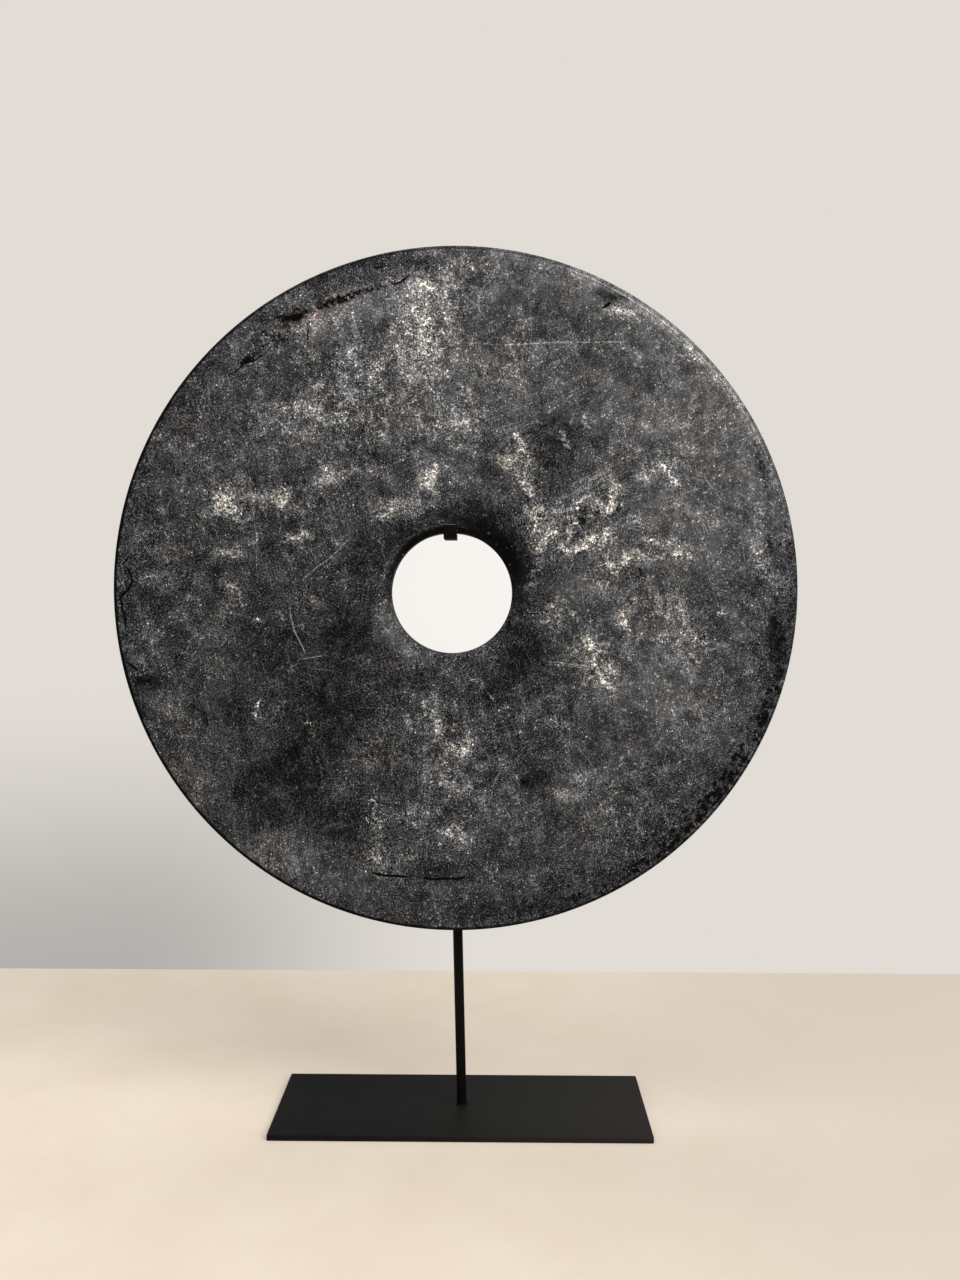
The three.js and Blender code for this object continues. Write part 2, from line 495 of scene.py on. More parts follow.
def ovals(flat, patches):
    """How strongly each point lies in a list of soft oval patches."""
    total = np.zeros(len(flat))
    for across, up, half_width, half_height, tilt, strength in patches:
        turn = math.radians(tilt)
        gap_x = flat[:, 0] - across
        gap_z = flat[:, 1] - up
        along = (gap_x * math.cos(turn) + gap_z * math.sin(turn)) / half_width
        beside = (gap_z * math.cos(turn) - gap_x * math.sin(turn)) / half_height
        total += strength * np.exp(-(along**2 + beside**2))
    return total


PITS = [
    (-78, 135.7, 3.6, 1.6, 20, 0.5), (-65, 141.3, 3.0, 1.4, 25, 0.4),
    (-56, 144.3, 3.6, 1.5, 10, 0.5), (-103.2, 114, 2.6, 1.2, 25, 0.45),
    (-112, 108.6, 2.4, 1.0, 20, 0.3), (-96, 117, 2.0, 1.0, 30, 0.3),
    (-37, 160.6, 3.0, 1.0, 12, 0.35), (-27, 152.8, 3.0, 0.9, 22, 0.35),
    (-89, 124, 1.8, 1.4, 50, 0.3), (74.5, 141.8, 1.8, 0.9, 30, 0.45),
    (80, 145, 5.0, 2.6, -12, 0.25), (152, 62, 3.0, 5.5, 18, 0.3), (156, 25, 3.2, 5.0, 5, 0.3),
    (160, -14, 2.4, 9.0, 2, 0.35), (157, -27, 2.6, 6.0, -8, 0.3), (-155, -44, 8.0, 2.0, 0, 0.25),
    (-6, -163.5, 9.0, 1.2, 2, 0.25), (28, -162, 14.0, 1.4, 8, 0.25),
]
FLAKES = [
    (-166.5, 0.5, 4.5, 8.0, 0, 0.45), (-166, 12, 3.0, 4.5, 0, 0.25),
    (-163, -40, 5.0, 3.0, -20, 0.22), (-92, 131, 24.0, 6.0, 32, 0.22),
    (-50, 142, 18.0, 7.0, 12, 0.18), (6, 160, 6.0, 7.0, 0, 0.15),
]
WAVE_LENGTH = 46
WAVE_DEPTH = 0.10
CRACK_DEPTH = 0.75
CRACK_HALF_WIDTH = 0.34
PIT_DEPTH = 0.9
LINE_INSETS = (2.1, 3.0, 3.9, 4.8)
LINE_DEPTH = 0.07
LINE_HALF_WIDTH = 0.22
RUBBED_SIDE = math.radians(48)
WHOLE_RIM = 2.5


def relief(across, up):
    """How far the worn front face lies below the flat one, in mm. It fades out at the rim."""
    flat = np.column_stack([across, up])
    inset = RIM_RADIUS - np.hypot(across, up)
    waves = [noise.noise(Vector((x / WAVE_LENGTH, z / WAVE_LENGTH, 3.1))) for x, z in flat]
    depth = WAVE_DEPTH + WAVE_DEPTH * np.array(waves)
    offset, _, strength = nearest_line(flat, CRACKS)
    depth += CRACK_DEPTH * strength * np.exp(-((offset / CRACK_HALF_WIDTH) ** 2))
    depth += ovals(flat, PITS) * PIT_DEPTH + ovals(flat, FLAKES)
    rubbed_and_lit = np.clip(np.cos(np.arctan2(up, across) - RUBBED_SIDE) * 1.6, 0, 1)
    for line_inset in LINE_INSETS:
        depth += LINE_DEPTH * rubbed_and_lit * np.exp(-(((inset - line_inset) / LINE_HALF_WIDTH) ** 2))
    return depth * np.clip(inset / WHOLE_RIM, 0, 1)


coordinates = np.empty(len(stone_mesh.vertices) * 3)
stone_mesh.vertices.foreach_get("co", coordinates)
coordinates = coordinates.reshape(-1, 3)
RELIEF_REACH = 1.2
facing = np.clip(1 - coordinates[:, 1] / RELIEF_REACH, 0, 1)
worn = relief(coordinates[:, 0], coordinates[:, 2]) * facing
print("deepest wear on the front:", round(float(worn.max()), 2), "mm")

# %% [markdown]
# ## Where the minerals lie
#
# The stone has a history, and each part of it is a separate mask on the points of the mesh:
#
# * `cloud`: fine pale specks, like frost, thick above the hole and below it;
# * `crust`: cream lime that grew in a net of veins to the right of the hole;
# * `haze_and_sheen`: a thin grey film, smoother and with fewer specks, widest near the rim, with a
#   painted sheen in it towards the upper right, where the window light falls;
# * `dark`: polished places where little clings;
# * `rust`: faint red-brown iron, in the pits and in a few broad stains.
#
# The places are laid out in mm from the middle of the disc, as the same soft ovals as
# the pits. The shader breaks their borders up with noise, so no oval shows.

# %% Lay out the minerals
CLOUD = [
    (-18, 122, 14, 34, 8, 0.65), (-8, 148, 20, 15, 0, 0.7), (-52, 112, 22, 18, 20, 0.55),
    (-70, 133, 24, 8, 28, 0.6), (-44, 85, 26, 20, 0, 0.45), (4, 84, 14, 14, 0, 0.6),
    (-12, 57, 8, 8, 0, 0.8), (-25, 42, 11, 7, 20, 0.9), (33, 112, 16, 12, 0, 0.35),
    (-111, 46, 11, 12, 0, 0.6), (-89, 46, 12, 7, 0, 0.5), (-60, 58, 10, 7, 0, 0.5),
    (-112, 20, 9, 5, 0, 0.5), (-80, 27, 8, 6, 0, 0.5), (-75, 85, 22, 16, 0, 0.4),
    (-130, 68, 18, 18, 0, 0.3), (-92, 88, 12, 10, 0, 0.35), (102, 68, 20, 18, 0, 0.40),
    (105, 22, 26, 14, 0, 0.15), (84, 4, 36, 30, 0, 0.15), (52, 34, 16, 16, 0, 0.3),
    (75, -36, 12, 14, -35, 0.5), (60, -18, 18, 14, 0, 0.2), (110, -20, 14, 22, 8, 0.4),
    (112, -56, 16, 14, 0, 0.3), (40, -16, 12, 12, 0, 0.2), (-10, -66, 9, 12, 0, 0.5),
    (7, -76, 10, 10, 0, 0.4), (-4, -92, 15, 16, 0, 0.58), (-22, -110, 12, 8, 0, 0.6),
    (16, -106, 11, 9, 0, 0.6), (0, -121, 10, 8, 0, 0.4), (-40, -122, 6, 18, -6, 0.6),
    (-24, -133, 18, 10, 0, 0.5), (66, -90, 14, 9, 0, 0.4), (54, -104, 14, 7, 0, 0.35),
    (90, -100, 40, 20, 30, 0.2), (-145, -60, 9, 12, 0, 0.3), (155, 30, 8, 30, 0, 0.35),
    (120, 100, 26, 26, 0, 0.2), (18, 158, 6, 6, 0, 0.4), (-120, -10, 30, 30, 0, 0.12),
    (-60, -20, 40, 30, 0, 0.12), (80, 137, 10, 6, -20, 0.4),
]
CRUST = [
    (34, 66, 8, 14, -60, 0.6), (38, 34, 8, 16, -15, 0.7), (52, 30, 12, 12, 0, 0.4),
    (70, 38, 14, 12, 0, 0.5), (80, 12, 12, 8, 20, 0.5), (105, 22, 16, 7, 0, 0.35),
    (107, 58, 8, 6, -40, 0.4), (73, -36, 10, 10, -35, 0.6), (116, -18, 8, 16, 25, 0.5),
    (-114, 44, 9, 8, 0, 0.6), (-152, 6.5, 6, 3, 10, 0.6), (-110, 0, 6, 6, -40, 0.4),
    (83, 139, 8, 3, -20, 0.6), (153, 14, 5, 16, 15, 0.5), (-40, -112, 7, 12, 0, 0.5),
    (50, -64, 8, 4, -25, 0.4), (3, -122, 10, 8, 0, 0.4), (-14, 122, 12, 22, 8, 0.5),
    (4, -78, 8, 6, 0, 0.5), (88, -4, 16, 10, 0, 0.3), (38, -12, 12, 10, 0, 0.4),
]
# The haze ovals on the upper right and the right also carry a painted sheen, where the window light
# falls.
HAZE_AND_SHEEN = [
    (-95, -128, 26, 12, -28, 0.6), (-62, -146, 22, 10, -18, 0.6), (-130, -92, 18, 22, -55, 0.3),
    (-150, -30, 12, 18, 0, 0.25), (-125, -30, 22, 30, 0, 0.15), (110, 112, 40, 20, -45, 0.8),
    (145, 60, 20, 40, 10, 0.6), (60, 148, 40, 12, -20, 0.9), (20, 165, 30, 6, -5, 0.2),
    (120, 40, 40, 40, 0, 0.6), (10, 100, 70, 50, 0, 0.4), (-40, 150, 50, 14, 15, 0.3),
    (70, -95, 40, 22, 10, 0.45), (105, -50, 40, 30, 0, 0.6), (0, -150, 40, 10, 0, 0.2),
    (-34, -14, 4, 10, 10, 0.7), (-26, -27, 9, 4, -45, 0.8), (-50, 139, 25, 9, 15, 1.0),
    (-110, 80, 40, 30, 0, 0.25), (90, 0, 40, 40, 0, 0.3), (0, -95, 24, 30, 0, 0.2),
    (-70, 126, 16, 9, 20, 0.4), (50, 124, 30, 12, 0, 0.3), (0, 118, 12, 14, 0, 0.25),
    (-80, 80, 14, 12, 0, 0.4), (-60, 38, 12, 12, 0, 0.3), (-142, 50, 14, 14, 0, 0.4),
    (-100, 62, 12, 10, 0, 0.3), (100, 82, 14, 12, 0, 0.6), (122, 60, 12, 10, 0, 0.3),
    (103, 42, 14, 10, 0, 0.4), (-2, -37, 14, 5, 0, 0.4), (102, -46, 14, 18, 0, 0.45),
    (62, -84, 14, 10, 0, 0.3), (45, 100, 34, 12, 0, 0.45), (84, 84, 16, 12, 0, 0.4),
    (58, 2, 14, 12, 0, 0.8), (124, 18, 12, 12, 0, 0.3), (160, -4, 7, 26, 0, 0.4),
    (-110, 122, 16, 8, 45, 0.5), (10, 52, 12, 8, 0, 0.3), (0, 66, 14, 8, 0, 0.3),
    (50, 50, 16, 12, 0, 0.3), (66, 34, 16, 10, 0, 0.15), (-60, 60, 10, 8, 0, 0.4),
    (154, -62, 8, 10, 0, 0.5), (-44, 124, 20, 10, 0, 0.25), (20, 142, 14, 12, 0, 0.5),
    (82, 100, 14, 12, 0, 0.5), (142, -18, 10, 14, 0, 0.5), (160, 40, 6, 14, 0, 0.4),
    (120, 22, 10, 10, 0, 0.3), (126, -118, 18, 12, 45, 0.4), (-24, -20, 8, 12, 0, 0.4),
    (142, -78, 10, 14, 30, 0.6), (20, -120, 12, 12, 0, 0.3),
]
DARK = [
    (-64, -60, 20, 18, 30, 1.0), (-84, -92, 22, 16, 40, 1.0), (-100, -118, 14, 8, 40, 0.4),
    (-58, -118, 12, 9, 0, 0.7), (-52, -20, 18, 16, 0, 0.7), (-45, 18, 9, 20, 0, 0.7),
    (-96, 18, 8, 20, 0, 0.35), (34, -33, 11, 15, -30, 1.0), (19, -52, 9, 9, 0, 0.6),
    (16, 37, 16, 8, -35, 1.0), (32, 18, 7, 16, 25, 0.8), (0, 39, 14, 5, 0, 0.8),
    (49, 76, 13, 15, 0, 0.7), (-119, 72, 10, 12, 0, 0.5), (-118, 115, 14, 7, 40, 0.6),
    (-137, 92, 10, 10, 45, 0.6), (-84, 56, 8, 5, 0, 0.4), (-142, 13, 10, 5, 0, 0.5),
    (-153, -45, 12, 5, 0, 0.9), (66, 36, 5, 5, 0, 0.9), (73, -66, 16, 10, -20, 0.6),
    (44, -91, 14, 9, 20, 0.6), (36, -96, 6, 5, 0, 0.5), (38, -133, 12, 6, 10, 0.5),
    (-8, -142, 16, 7, 0, 0.6), (160, -24, 6, 16, 5, 0.9), (150, -61, 7, 8, 0, 0.2),
    (61, 116, 8, 5, 0, 0.4), (76, 146, 9, 5, -12, 0.9), (130, -16, 6, 9, 0, 0.5),
    (150, 66, 7, 10, 15, 0.5), (158, 28, 5, 12, 5, 0.5), (-44, 143, 14, 4, 15, 0.5),
    (-78, 136, 8, 4, 20, 0.6), (-150, 28, 14, 10, 0, 0.35), (-60, 100, 8, 8, 0, 0.2),
    (10, 62, 10, 8, 0, 0.3), (-92, -35, 32, 28, 0, 0.6), (-26, 26, 11, 11, 0, 0.8),
    (48, 70, 16, 18, 0, 0.6), (46, 6, 12, 12, 0, 0.3), (62, 38, 8, 6, 0, 0.7),
    (30, -18, 10, 14, 0, 0.9), (-110, -100, 24, 20, 0, 0.4), (20, -160, 44, 7, 8, 0.7),
    (62, 4, 16, 14, 0, 0.5), (-40, -30, 14, 14, 0, 0.3), (-28, -100, 20, 20, 0, 0.3),
    (-22, 163, 8, 5, 0, 0.5), (-50, -122, 18, 12, 0, 0.4), (-120, -60, 14, 12, 0, 0.5),
    (-118, -120, 14, 10, 0, 0.4), (-40, -120, 10, 10, 0, 0.3), (-158, -60, 8, 10, 0, 0.4),
    (-20, -43, 10, 5, 0, 0.6), (-50, -60, 16, 10, 0, 0.4), (-16, -132, 16, 14, 0, 0.4),
    (-50, -160, 20, 6, 15, 0.5), (-108, -64, 12, 14, 0, 0.3), (-22, 158, 10, 8, 0, 0.3),
    (-62, 2, 14, 12, 0, 0.4), (-82, 20, 10, 10, 0, 0.4), (-100, -16, 14, 12, 0, 0.4),
    (20, 60, 9, 9, 0, 0.5), (122, 80, 12, 12, 0, 0.4), (142, 42, 10, 10, 0, 0.4),
    (-60, -84, 12, 10, 0, 0.3), (-162, -62, 8, 12, 0, 0.5), (-70, -112, 18, 12, 30, 0.4),
    (-138, -22, 10, 10, 0, 0.5), (120, -82, 10, 10, 0, 0.4), (20, 158, 10, 8, 0, 0.4),
]
RUST = [
    (-79, 136, 12, 5, 18, 1.0), (-60, 143, 15, 5, 14, 1.1), (-42, 149, 14, 5, 12, 0.7),
    (-88, 122, 12, 6, 40, 0.5), (-128, 78, 18, 18, 0, 0.35), (110, 95, 30, 24, -45, 0.5),
    (90, 60, 26, 16, 0, 0.3), (-60, 62, 14, 10, 0, 0.3), (-8, 145, 20, 16, 0, 0.35),
    (-52, -38, 18, 8, 0, 0.3), (60, -70, 20, 12, 0, 0.2), (-28, -34, 12, 12, 0, 0.4),
    (80, 145, 10, 6, -12, 0.3),
]
print("mineral patches:", sum(len(patches) for patches in (CLOUD, CRUST, HAZE_AND_SHEEN, DARK, RUST)))

# %% [markdown]
# Where lime is thick it lies in short strokes: beads, arcs and small rings, each one to a few
# millimetres wide. Gashes and stained hollows are strokes as well, and so are the scratches,
# which are only a fraction of a millimetre wide. Each stroke gives its half width in mm, how
# strong it is, and the places that it runs through. The mesh keeps how far each point is from
# the edge of the nearest stroke, and that stays sharp between points.

# %% Draw the strokes of lime
LIME = [
    (1.6, 0.9, (30, 78), (33, 73), (36, 68)), (1.1, 0.6, (36, 68), (41, 62), (46, 60)),
    (1.1, 0.55, (36, 67), (35, 60), (34, 55)), (2.2, 0.9, (34, 55), (36, 52), (38, 49)),
    (0.8, 0.6, (42, 57), (43, 52), (43, 49)), (2.6, 0.55, (22, 66), (28, 66), (25, 63)),
    (1.2, 0.8, (29, 62), (32, 59)), (2.2, 0.65, (35, 42), (38, 40), (41, 42), (45, 40)),
    (0.9, 0.8, (40, 41), (40, 31)), (1.8, 0.75, (45, 40), (52, 41), (58, 41)),
    (1.3, 1.0, (59, 40), (61, 43), (63, 47), (67, 48)), (1.3, 0.9, (58, 38), (60, 35), (62, 33.5)),
    (1.0, 0.8, (69, 42), (67.5, 39), (70, 36)), (1.6, 0.7, (70, 45), (73, 44), (75, 42)),
    (2.4, 1.0, (76, 41), (79, 44), (78, 48), (80, 52)), (1.2, 0.6, (80, 52), (79, 56), (77, 58)),
    (1.0, 0.8, (82, 43), (84, 45)), (1.5, 0.8, (76, 32), (75, 27), (73, 22)),
    (2.2, 1.0, (69, 27), (66, 26), (64, 23), (60, 21.5)),
    (2.0, 0.95, (60, 21.5), (56, 21), (53, 23)), (2.4, 0.8, (50, 29), (46, 28), (44, 24), (42, 21)),
    (1.2, 0.6, (46, 33), (50, 29)), (1.0, 0.7, (57, 31), (57, 27), (56, 24)),
    (2.0, 0.5, (42, 17), (42, 12), (39, 10)), (1.5, 0.9, (94, 27), (97, 26), (101, 25)),
    (0.9, 0.6, (106, 25), (109, 23), (107, 20)), (1.3, 0.95, (109, 19), (113, 20), (118, 18)),
    (2.0, 0.8, (76, 18), (77, 14), (80, 10)), (2.0, 0.8, (82, 14), (86, 16), (85, 19)),
    (1.2, 0.6, (86, 19), (92, 21)), (1.1, 0.5, (92, 18), (98, 20)), (2.4, 0.45, (69, 3), (75, 4)),
    (1.5, 0.5, (91, 58), (96, 56)), (1.8, 0.8, (102, 63), (106, 60), (108, 56), (111, 54)),
    (1.2, 0.5, (98, 61), (103, 63)), (0.7, 0.9, (109, 45), (112, 43)),
    (0.9, 0.5, (36, 8), (39, 5), (37, 3), (31, 2)), (1.4, 0.7, (52, -1), (50, -4), (48, -8)),
    (1.0, 0.5, (50, -4), (56, -4)), (1.6, 0.7, (58, -10), (60, -10)),
    (2.2, 0.8, (83, -10), (84, -15), (87, -18)), (1.2, 0.9, (113, -7), (114, -12), (117, -19)),
    (1.2, 0.5, (117, -19), (122, -25), (125, -26)), (1.0, 0.5, (52, -12), (53, -18)),
    (2.0, 0.7, (53, 78), (56, 73)), (1.0, 0.5, (59, 88), (57, 84)), (1.5, 0.6, (64, 87), (66, 82)),
    (1.2, 0.5, (40, 85), (43, 83)), (0.8, 1.0, (93.5, 83), (95, 82)),
    (0.7, 1.1, (123.4, 80.3), (124.8, 80.8)), (0.5, 1.2, (78, 74), (78.4, 74)),
    (0.5, 1.1, (85, 73.6), (85.6, 73.6)), (0.6, 0.7, (87, -6), (88, -7)),
    (2.6, 0.85, (65, -24), (68, -27), (70, -30), (69, -33)), (1.6, 0.6, (70, -29), (76, -30)),
    (1.6, 0.7, (69, -36), (73, -41), (76, -46), (80, -48)), (1.6, 0.6, (77, -39), (82, -40)),
    (1.1, 0.6, (64, -46), (66, -46)), (1.2, 0.7, (100, -40), (101, -41)),
    (0.8, 0.8, (91, -26), (92, -23)), (1.0, 0.9, (130, -10), (134, -9.5), (138, -10)),
    (0.7, 0.5, (148, -9), (149, -10)), (1.3, 0.8, (117, -30), (120, -33), (122, -35)),
    (1.2, 0.5, (116, -50), (118, -50)), (1.2, 0.5, (93, -119), (95, -122)),
    (3.0, 0.7, (-119, 48), (-115, 45), (-112, 42)), (2.4, 0.7, (-119, 40), (-115, 39), (-110, 41)),
    (1.2, 0.6, (-110, 38), (-106, 34)), (1.4, 0.8, (-127, 38), (-125, 37)),
    (2.4, 0.55, (-99, 47), (-94, 44), (-96, 42)), (2.2, 0.95, (-87, 43), (-85, 46), (-83, 48.5)),
    (1.6, 0.6, (-86, 43), (-84, 40)), (1.0, 0.7, (-104, 24), (-100, 24), (-99, 29)),
    (2.0, 0.5, (-119, 20), (-114, 19)), (1.2, 0.8, (-109, 22), (-108, 20)),
    (1.4, 0.7, (-83, 28), (-79, 26), (-75, 30), (-72, 27)), (2.0, 0.45, (-85, 20), (-82, 16)),
    (0.8, 1.1, (-59, 25.5), (-59, 24)), (0.6, 0.9, (-62, 17), (-60.5, 17)),
    (2.4, 0.6, (-67, 57), (-62, 56), (-66, 53)), (1.0, 0.5, (-72, 68), (-68, 65), (-66, 62)),
    (0.8, 0.95, (-155, 7), (-152, 8), (-150, 7.6)), (1.2, 0.8, (-112, 3), (-109, 2)),
    (1.2, 0.6, (-109, 1), (-107, -2), (-107, -7)), (0.8, 1.2, (-100, -14), (-98, -14)),
    (0.8, 0.7, (-115, -11), (-114.6, -11)), (1.4, 0.5, (-145, 16), (-144, 15)),
    (2.0, 0.35, (-160, 25), (-155, 28), (-152, 30)),
    (0.8, 1.1, (-98, -55), (-100, -59), (-100, -62)), (1.5, 0.4, (-89, -57), (-83, -54)),
    (0.8, 1.1, (-139, -63), (-138, -63)), (0.9, 1.3, (-74, -66), (-73, -65.4)),
    (0.7, 0.8, (-71, -71), (-71, -73)), (0.7, 1.2, (-83, -38), (-82.4, -38.4)),
    (0.8, 0.8, (-90, -46), (-90, -47)), (0.7, 0.7, (-123, -43), (-122.4, -43)),
    (1.2, 0.6, (-42, -34), (-44, -36)), (0.9, 0.9, (-55, 5), (-54, 3)),
    (1.8, 0.5, (-88, -11), (-86, -14)), (2.4, 0.35, (-74, -1), (-68, -6)),
    (0.6, 1.0, (-40.5, -21), (-39.5, -21)), (1.6, 0.4, (-36, -20), (-34, -20)),
    (1.0, 0.6, (-39, -12), (-38, -12)), (1.2, 0.6, (-36, -6), (-35, -5)),
    (3.0, 0.5, (-36, 44), (-33, 42), (-30, 44)), (2.4, 0.7, (-37, 37), (-34, 37)),
    (3.0, 0.6, (-12, 58), (-13, 54)), (1.0, 0.5, (-36, 24), (-38, 27), (-35, 29), (-31, 30)),
]
print("lime strokes on the sides:", len(LIME))

# %% Draw the lime above and below the hole
LIME += [
    (2.2, 0.6, (-68, 101), (-67, 102)), (0.8, 0.6, (-79, 114), (-73, 109)),
    (2.2, 0.45, (-54, 120), (-52, 119)), (1.4, 0.5, (-44, 109), (-37, 110)),
    (2.0, 0.5, (-36, 95), (-32, 97)), (1.4, 0.8, (-37, 79), (-35, 77)),
    (0.8, 0.8, (-40, 81), (-39, 81)), (1.8, 0.6, (-18, 88), (-17, 84)),
    (1.5, 0.4, (-24, 80), (-22, 81)), (2.0, 0.5, (-9, 84), (-7, 84)),
    (1.0, 0.6, (-110, 120), (-112, 123)), (2.0, 0.3, (-94, 124), (-96, 126)),
    (1.1, 0.7, (6, 163), (9, 159)), (2.2, 0.5, (-16, 167), (-12, 167)),
    (2.4, 0.5, (-2, 163), (3, 163)), (2.2, 0.4, (-9, 98), (-7, 97)), (4.0, 0.3, (2, 85), (6, 83)),
    (0.7, 0.4, (-130, 102), (-122, 106)), (0.7, 0.35, (-119, 108), (-125, 112)),
    (3.0, 0.4, (-27, 120), (-26, 114), (-22, 112)), (3.0, 0.35, (-18, 126), (-12, 122), (-8, 118)),
    (2.5, 0.5, (-20, 138), (-14, 134)), (2.5, 0.45, (-4, 134), (2, 130)),
    (2.0, 0.5, (-19, 152), (-12, 150)), (2.0, 0.5, (-10, -50), (-9, -56), (-11, -61)),
    (2.2, 0.6, (-10, -62), (-8, -67), (-9, -70)), (1.5, 0.5, (-16, -55), (-14, -58)),
    (1.4, 0.5, (-17, -64), (-14, -60)), (2.0, 0.5, (-24, -63), (-22, -68)),
    (1.2, 0.5, (0, -55), (1, -60)), (0.9, 0.4, (9, -63), (12, -68)),
    (1.2, 0.6, (2, -80), (6, -78), (8, -75)), (1.2, 0.6, (4, -80), (9, -80)),
    (1.3, 0.7, (-6, -84), (-5, -86)), (1.2, 0.7, (-6, -92), (-6, -94)),
    (1.1, 0.8, (8, -97), (9, -99)), (0.9, 0.7, (-28, -83), (-27.5, -84)),
    (0.9, 0.8, (-16, -102), (-13, -104)), (1.5, 0.45, (-8, -108), (-7, -109)),
    (2.0, 0.5, (-23, -110), (-20, -108)), (1.3, 0.75, (-1, -117), (3, -119), (4, -124), (5, -126)),
    (2.2, 0.35, (15, -108), (17, -110)), (1.0, 0.6, (-42, -105), (-38, -103)),
    (1.2, 0.7, (-40, -107), (-40, -110)), (1.6, 0.6, (-44, -114), (-42, -116)),
    (1.2, 0.7, (-38, -116), (-37, -119)), (0.8, 0.5, (-48, -117), (-46, -118)),
    (1.4, 0.55, (-22, -134), (-20, -133)), (1.2, 0.75, (-35, -138), (-33, -137)),
    (1.2, 0.55, (-34, -134), (-33, -134)), (0.9, 0.6, (-14, -133), (-14, -134)),
    (0.7, 0.9, (-9, -134.5), (-8.4, -134.5)), (1.2, 0.55, (-3, -133), (-2, -134)),
    (0.9, 0.6, (-6, -121), (-5, -122)), (1.0, 0.4, (22, -92), (24, -84)),
    (0.9, 0.9, (23, -59), (25, -58), (27, -58)), (1.5, 0.5, (10, -44), (14, -45), (14, -47)),
    (0.7, 1.0, (12.3, -59.8), (12.8, -59.8)), (0.8, 0.7, (-4, -39), (-4, -40)),
    (0.7, 1.0, (41.5, -67), (42.5, -66)), (0.7, 0.9, (33, -69.5), (33.6, -70)),
    (0.8, 0.5, (55, -66), (58, -69)), (0.9, 0.5, (-57, -100), (-54, -98)),
    (0.5, 0.9, (29.6, -92), (30, -92)), (0.5, 0.9, (32, -94), (32.4, -94)),
    (0.8, 0.7, (18, -52), (19, -53)), (3.5, 0.3, (54, -103), (60, -103)),
    (1.8, 0.5, (79, 139), (84, 139)), (0.9, 0.7, (84, 139), (89, 136)),
    (1.0, 0.7, (148, 22), (152, 14), (156, 7)), (0.9, 0.5, (156, 7), (160, 4)),
]
print("lime strokes in all:", len(LIME))

# %% Draw the gashes, the scratches and the fine cuts
GASHES = [
    (2.2, 1.0, (-85, 135), (-80, 136), (-76, 136.6)), (1.2, 0.9, (-75, 138), (-70, 140)),
    (1.2, 0.8, (-96, 120.6), (-91, 124.6), (-88, 127)), (0.8, 0.9, (-81, 139), (-78, 139.6)),
    (0.6, 0.8, (-86.5, 137), (-85, 137)), (2.0, 0.95, (-67, 141.2), (-62, 143)),
    (2.4, 1.0, (-60, 143.6), (-56, 144.4), (-52, 146)), (0.5, 0.7, (-64, 147), (-62, 148)),
    (1.4, 0.9, (-50, 147), (-43, 149)), (1.0, 0.8, (-39, 150), (-34, 151.6)),
    (0.6, 0.9, (-31, 152), (-28, 152.6), (-25, 154.4)), (0.5, 0.8, (-39, 160), (-36, 160.3)),
    (1.8, 1.0, (-106, 113.6), (-101, 115.6)), (1.0, 0.8, (-99, 117), (-97, 119)),
    (0.8, 0.8, (-97, 114), (-94.5, 113.6)), (0.8, 0.8, (-92.5, 119.6), (-91, 121)),
    (0.7, 0.7, (-63, 131), (-61, 129)), (0.8, 0.5, (-36, 132), (-33, 130.6)),
    (0.8, 0.7, (-5, 146), (-5, 144)), (0.5, 0.6, (-112, 107.4), (-110, 108.6)),
    (0.9, 0.4, (-6, 104), (-2, 105)), (1.6, 0.8, (-158, -45), (-152, -46)),
    (1.0, 0.6, (-138, -46), (-134, -46)), (1.2, 0.6, (-149, 12), (-145, 11), (-142, 14)),
    (0.35, 0.9, (-156, 6), (-153, 6.4), (-150, 6.2)), (1.6, 0.8, (34, -95), (37, -97)),
    (0.9, 0.9, (39, -133), (42, -131.6)), (0.8, 0.7, (44, -127), (45, -127)),
    (0.8, 0.8, (20, -77), (23, -77.5)), (0.8, 0.6, (15, -83), (16, -83)),
    (1.0, 0.8, (17, -53), (17.4, -55)), (0.7, 0.7, (20, -64), (22, -64)),
    (0.9, 0.6, (29, -89), (30, -90)), (1.3, 0.8, (162, -15), (163, -20), (163, -27)),
    (1.0, 0.6, (150, -30), (153, -35), (155, -42)), (1.0, 0.8, (160, -40), (159, -44)),
    (1.2, 0.4, (148, -62), (152, -62)), (1.0, 0.6, (139, -67), (139, -73)),
    (1.3, 0.7, (77, -97), (80, -98)), (1.6, 0.5, (131, -99), (125, -105)),
    (1.2, 0.5, (136, -88), (135, -92)), (0.9, 0.7, (107, 44), (108, 45)),
    (1.8, 0.4, (86, 42), (84, 39)), (2.0, 0.6, (64.5, 39.5), (64, 36)),
    (1.6, 0.5, (60, 28), (62, 28)), (1.4, 0.5, (41, 52), (41, 50)), (1.6, 0.5, (55, 35), (57, 34)),
    (1.2, 0.7, (92, 12), (93, 9)), (1.6, 0.5, (86, -3), (88, -5)), (1.0, 0.8, (71, 41), (71, 39)),
    (1.6, 0.5, (77, 146), (85, 145)), (1.2, 0.5, (150, 69), (152, 62)),
    (1.4, 0.4, (154, 60), (154, 52)), (1.4, 0.5, (156, 28), (157, 20)),
    (2.2, 0.5, (-84, 56), (-82, 54)), (1.4, 0.5, (-66, 46), (-65, 44)),
]
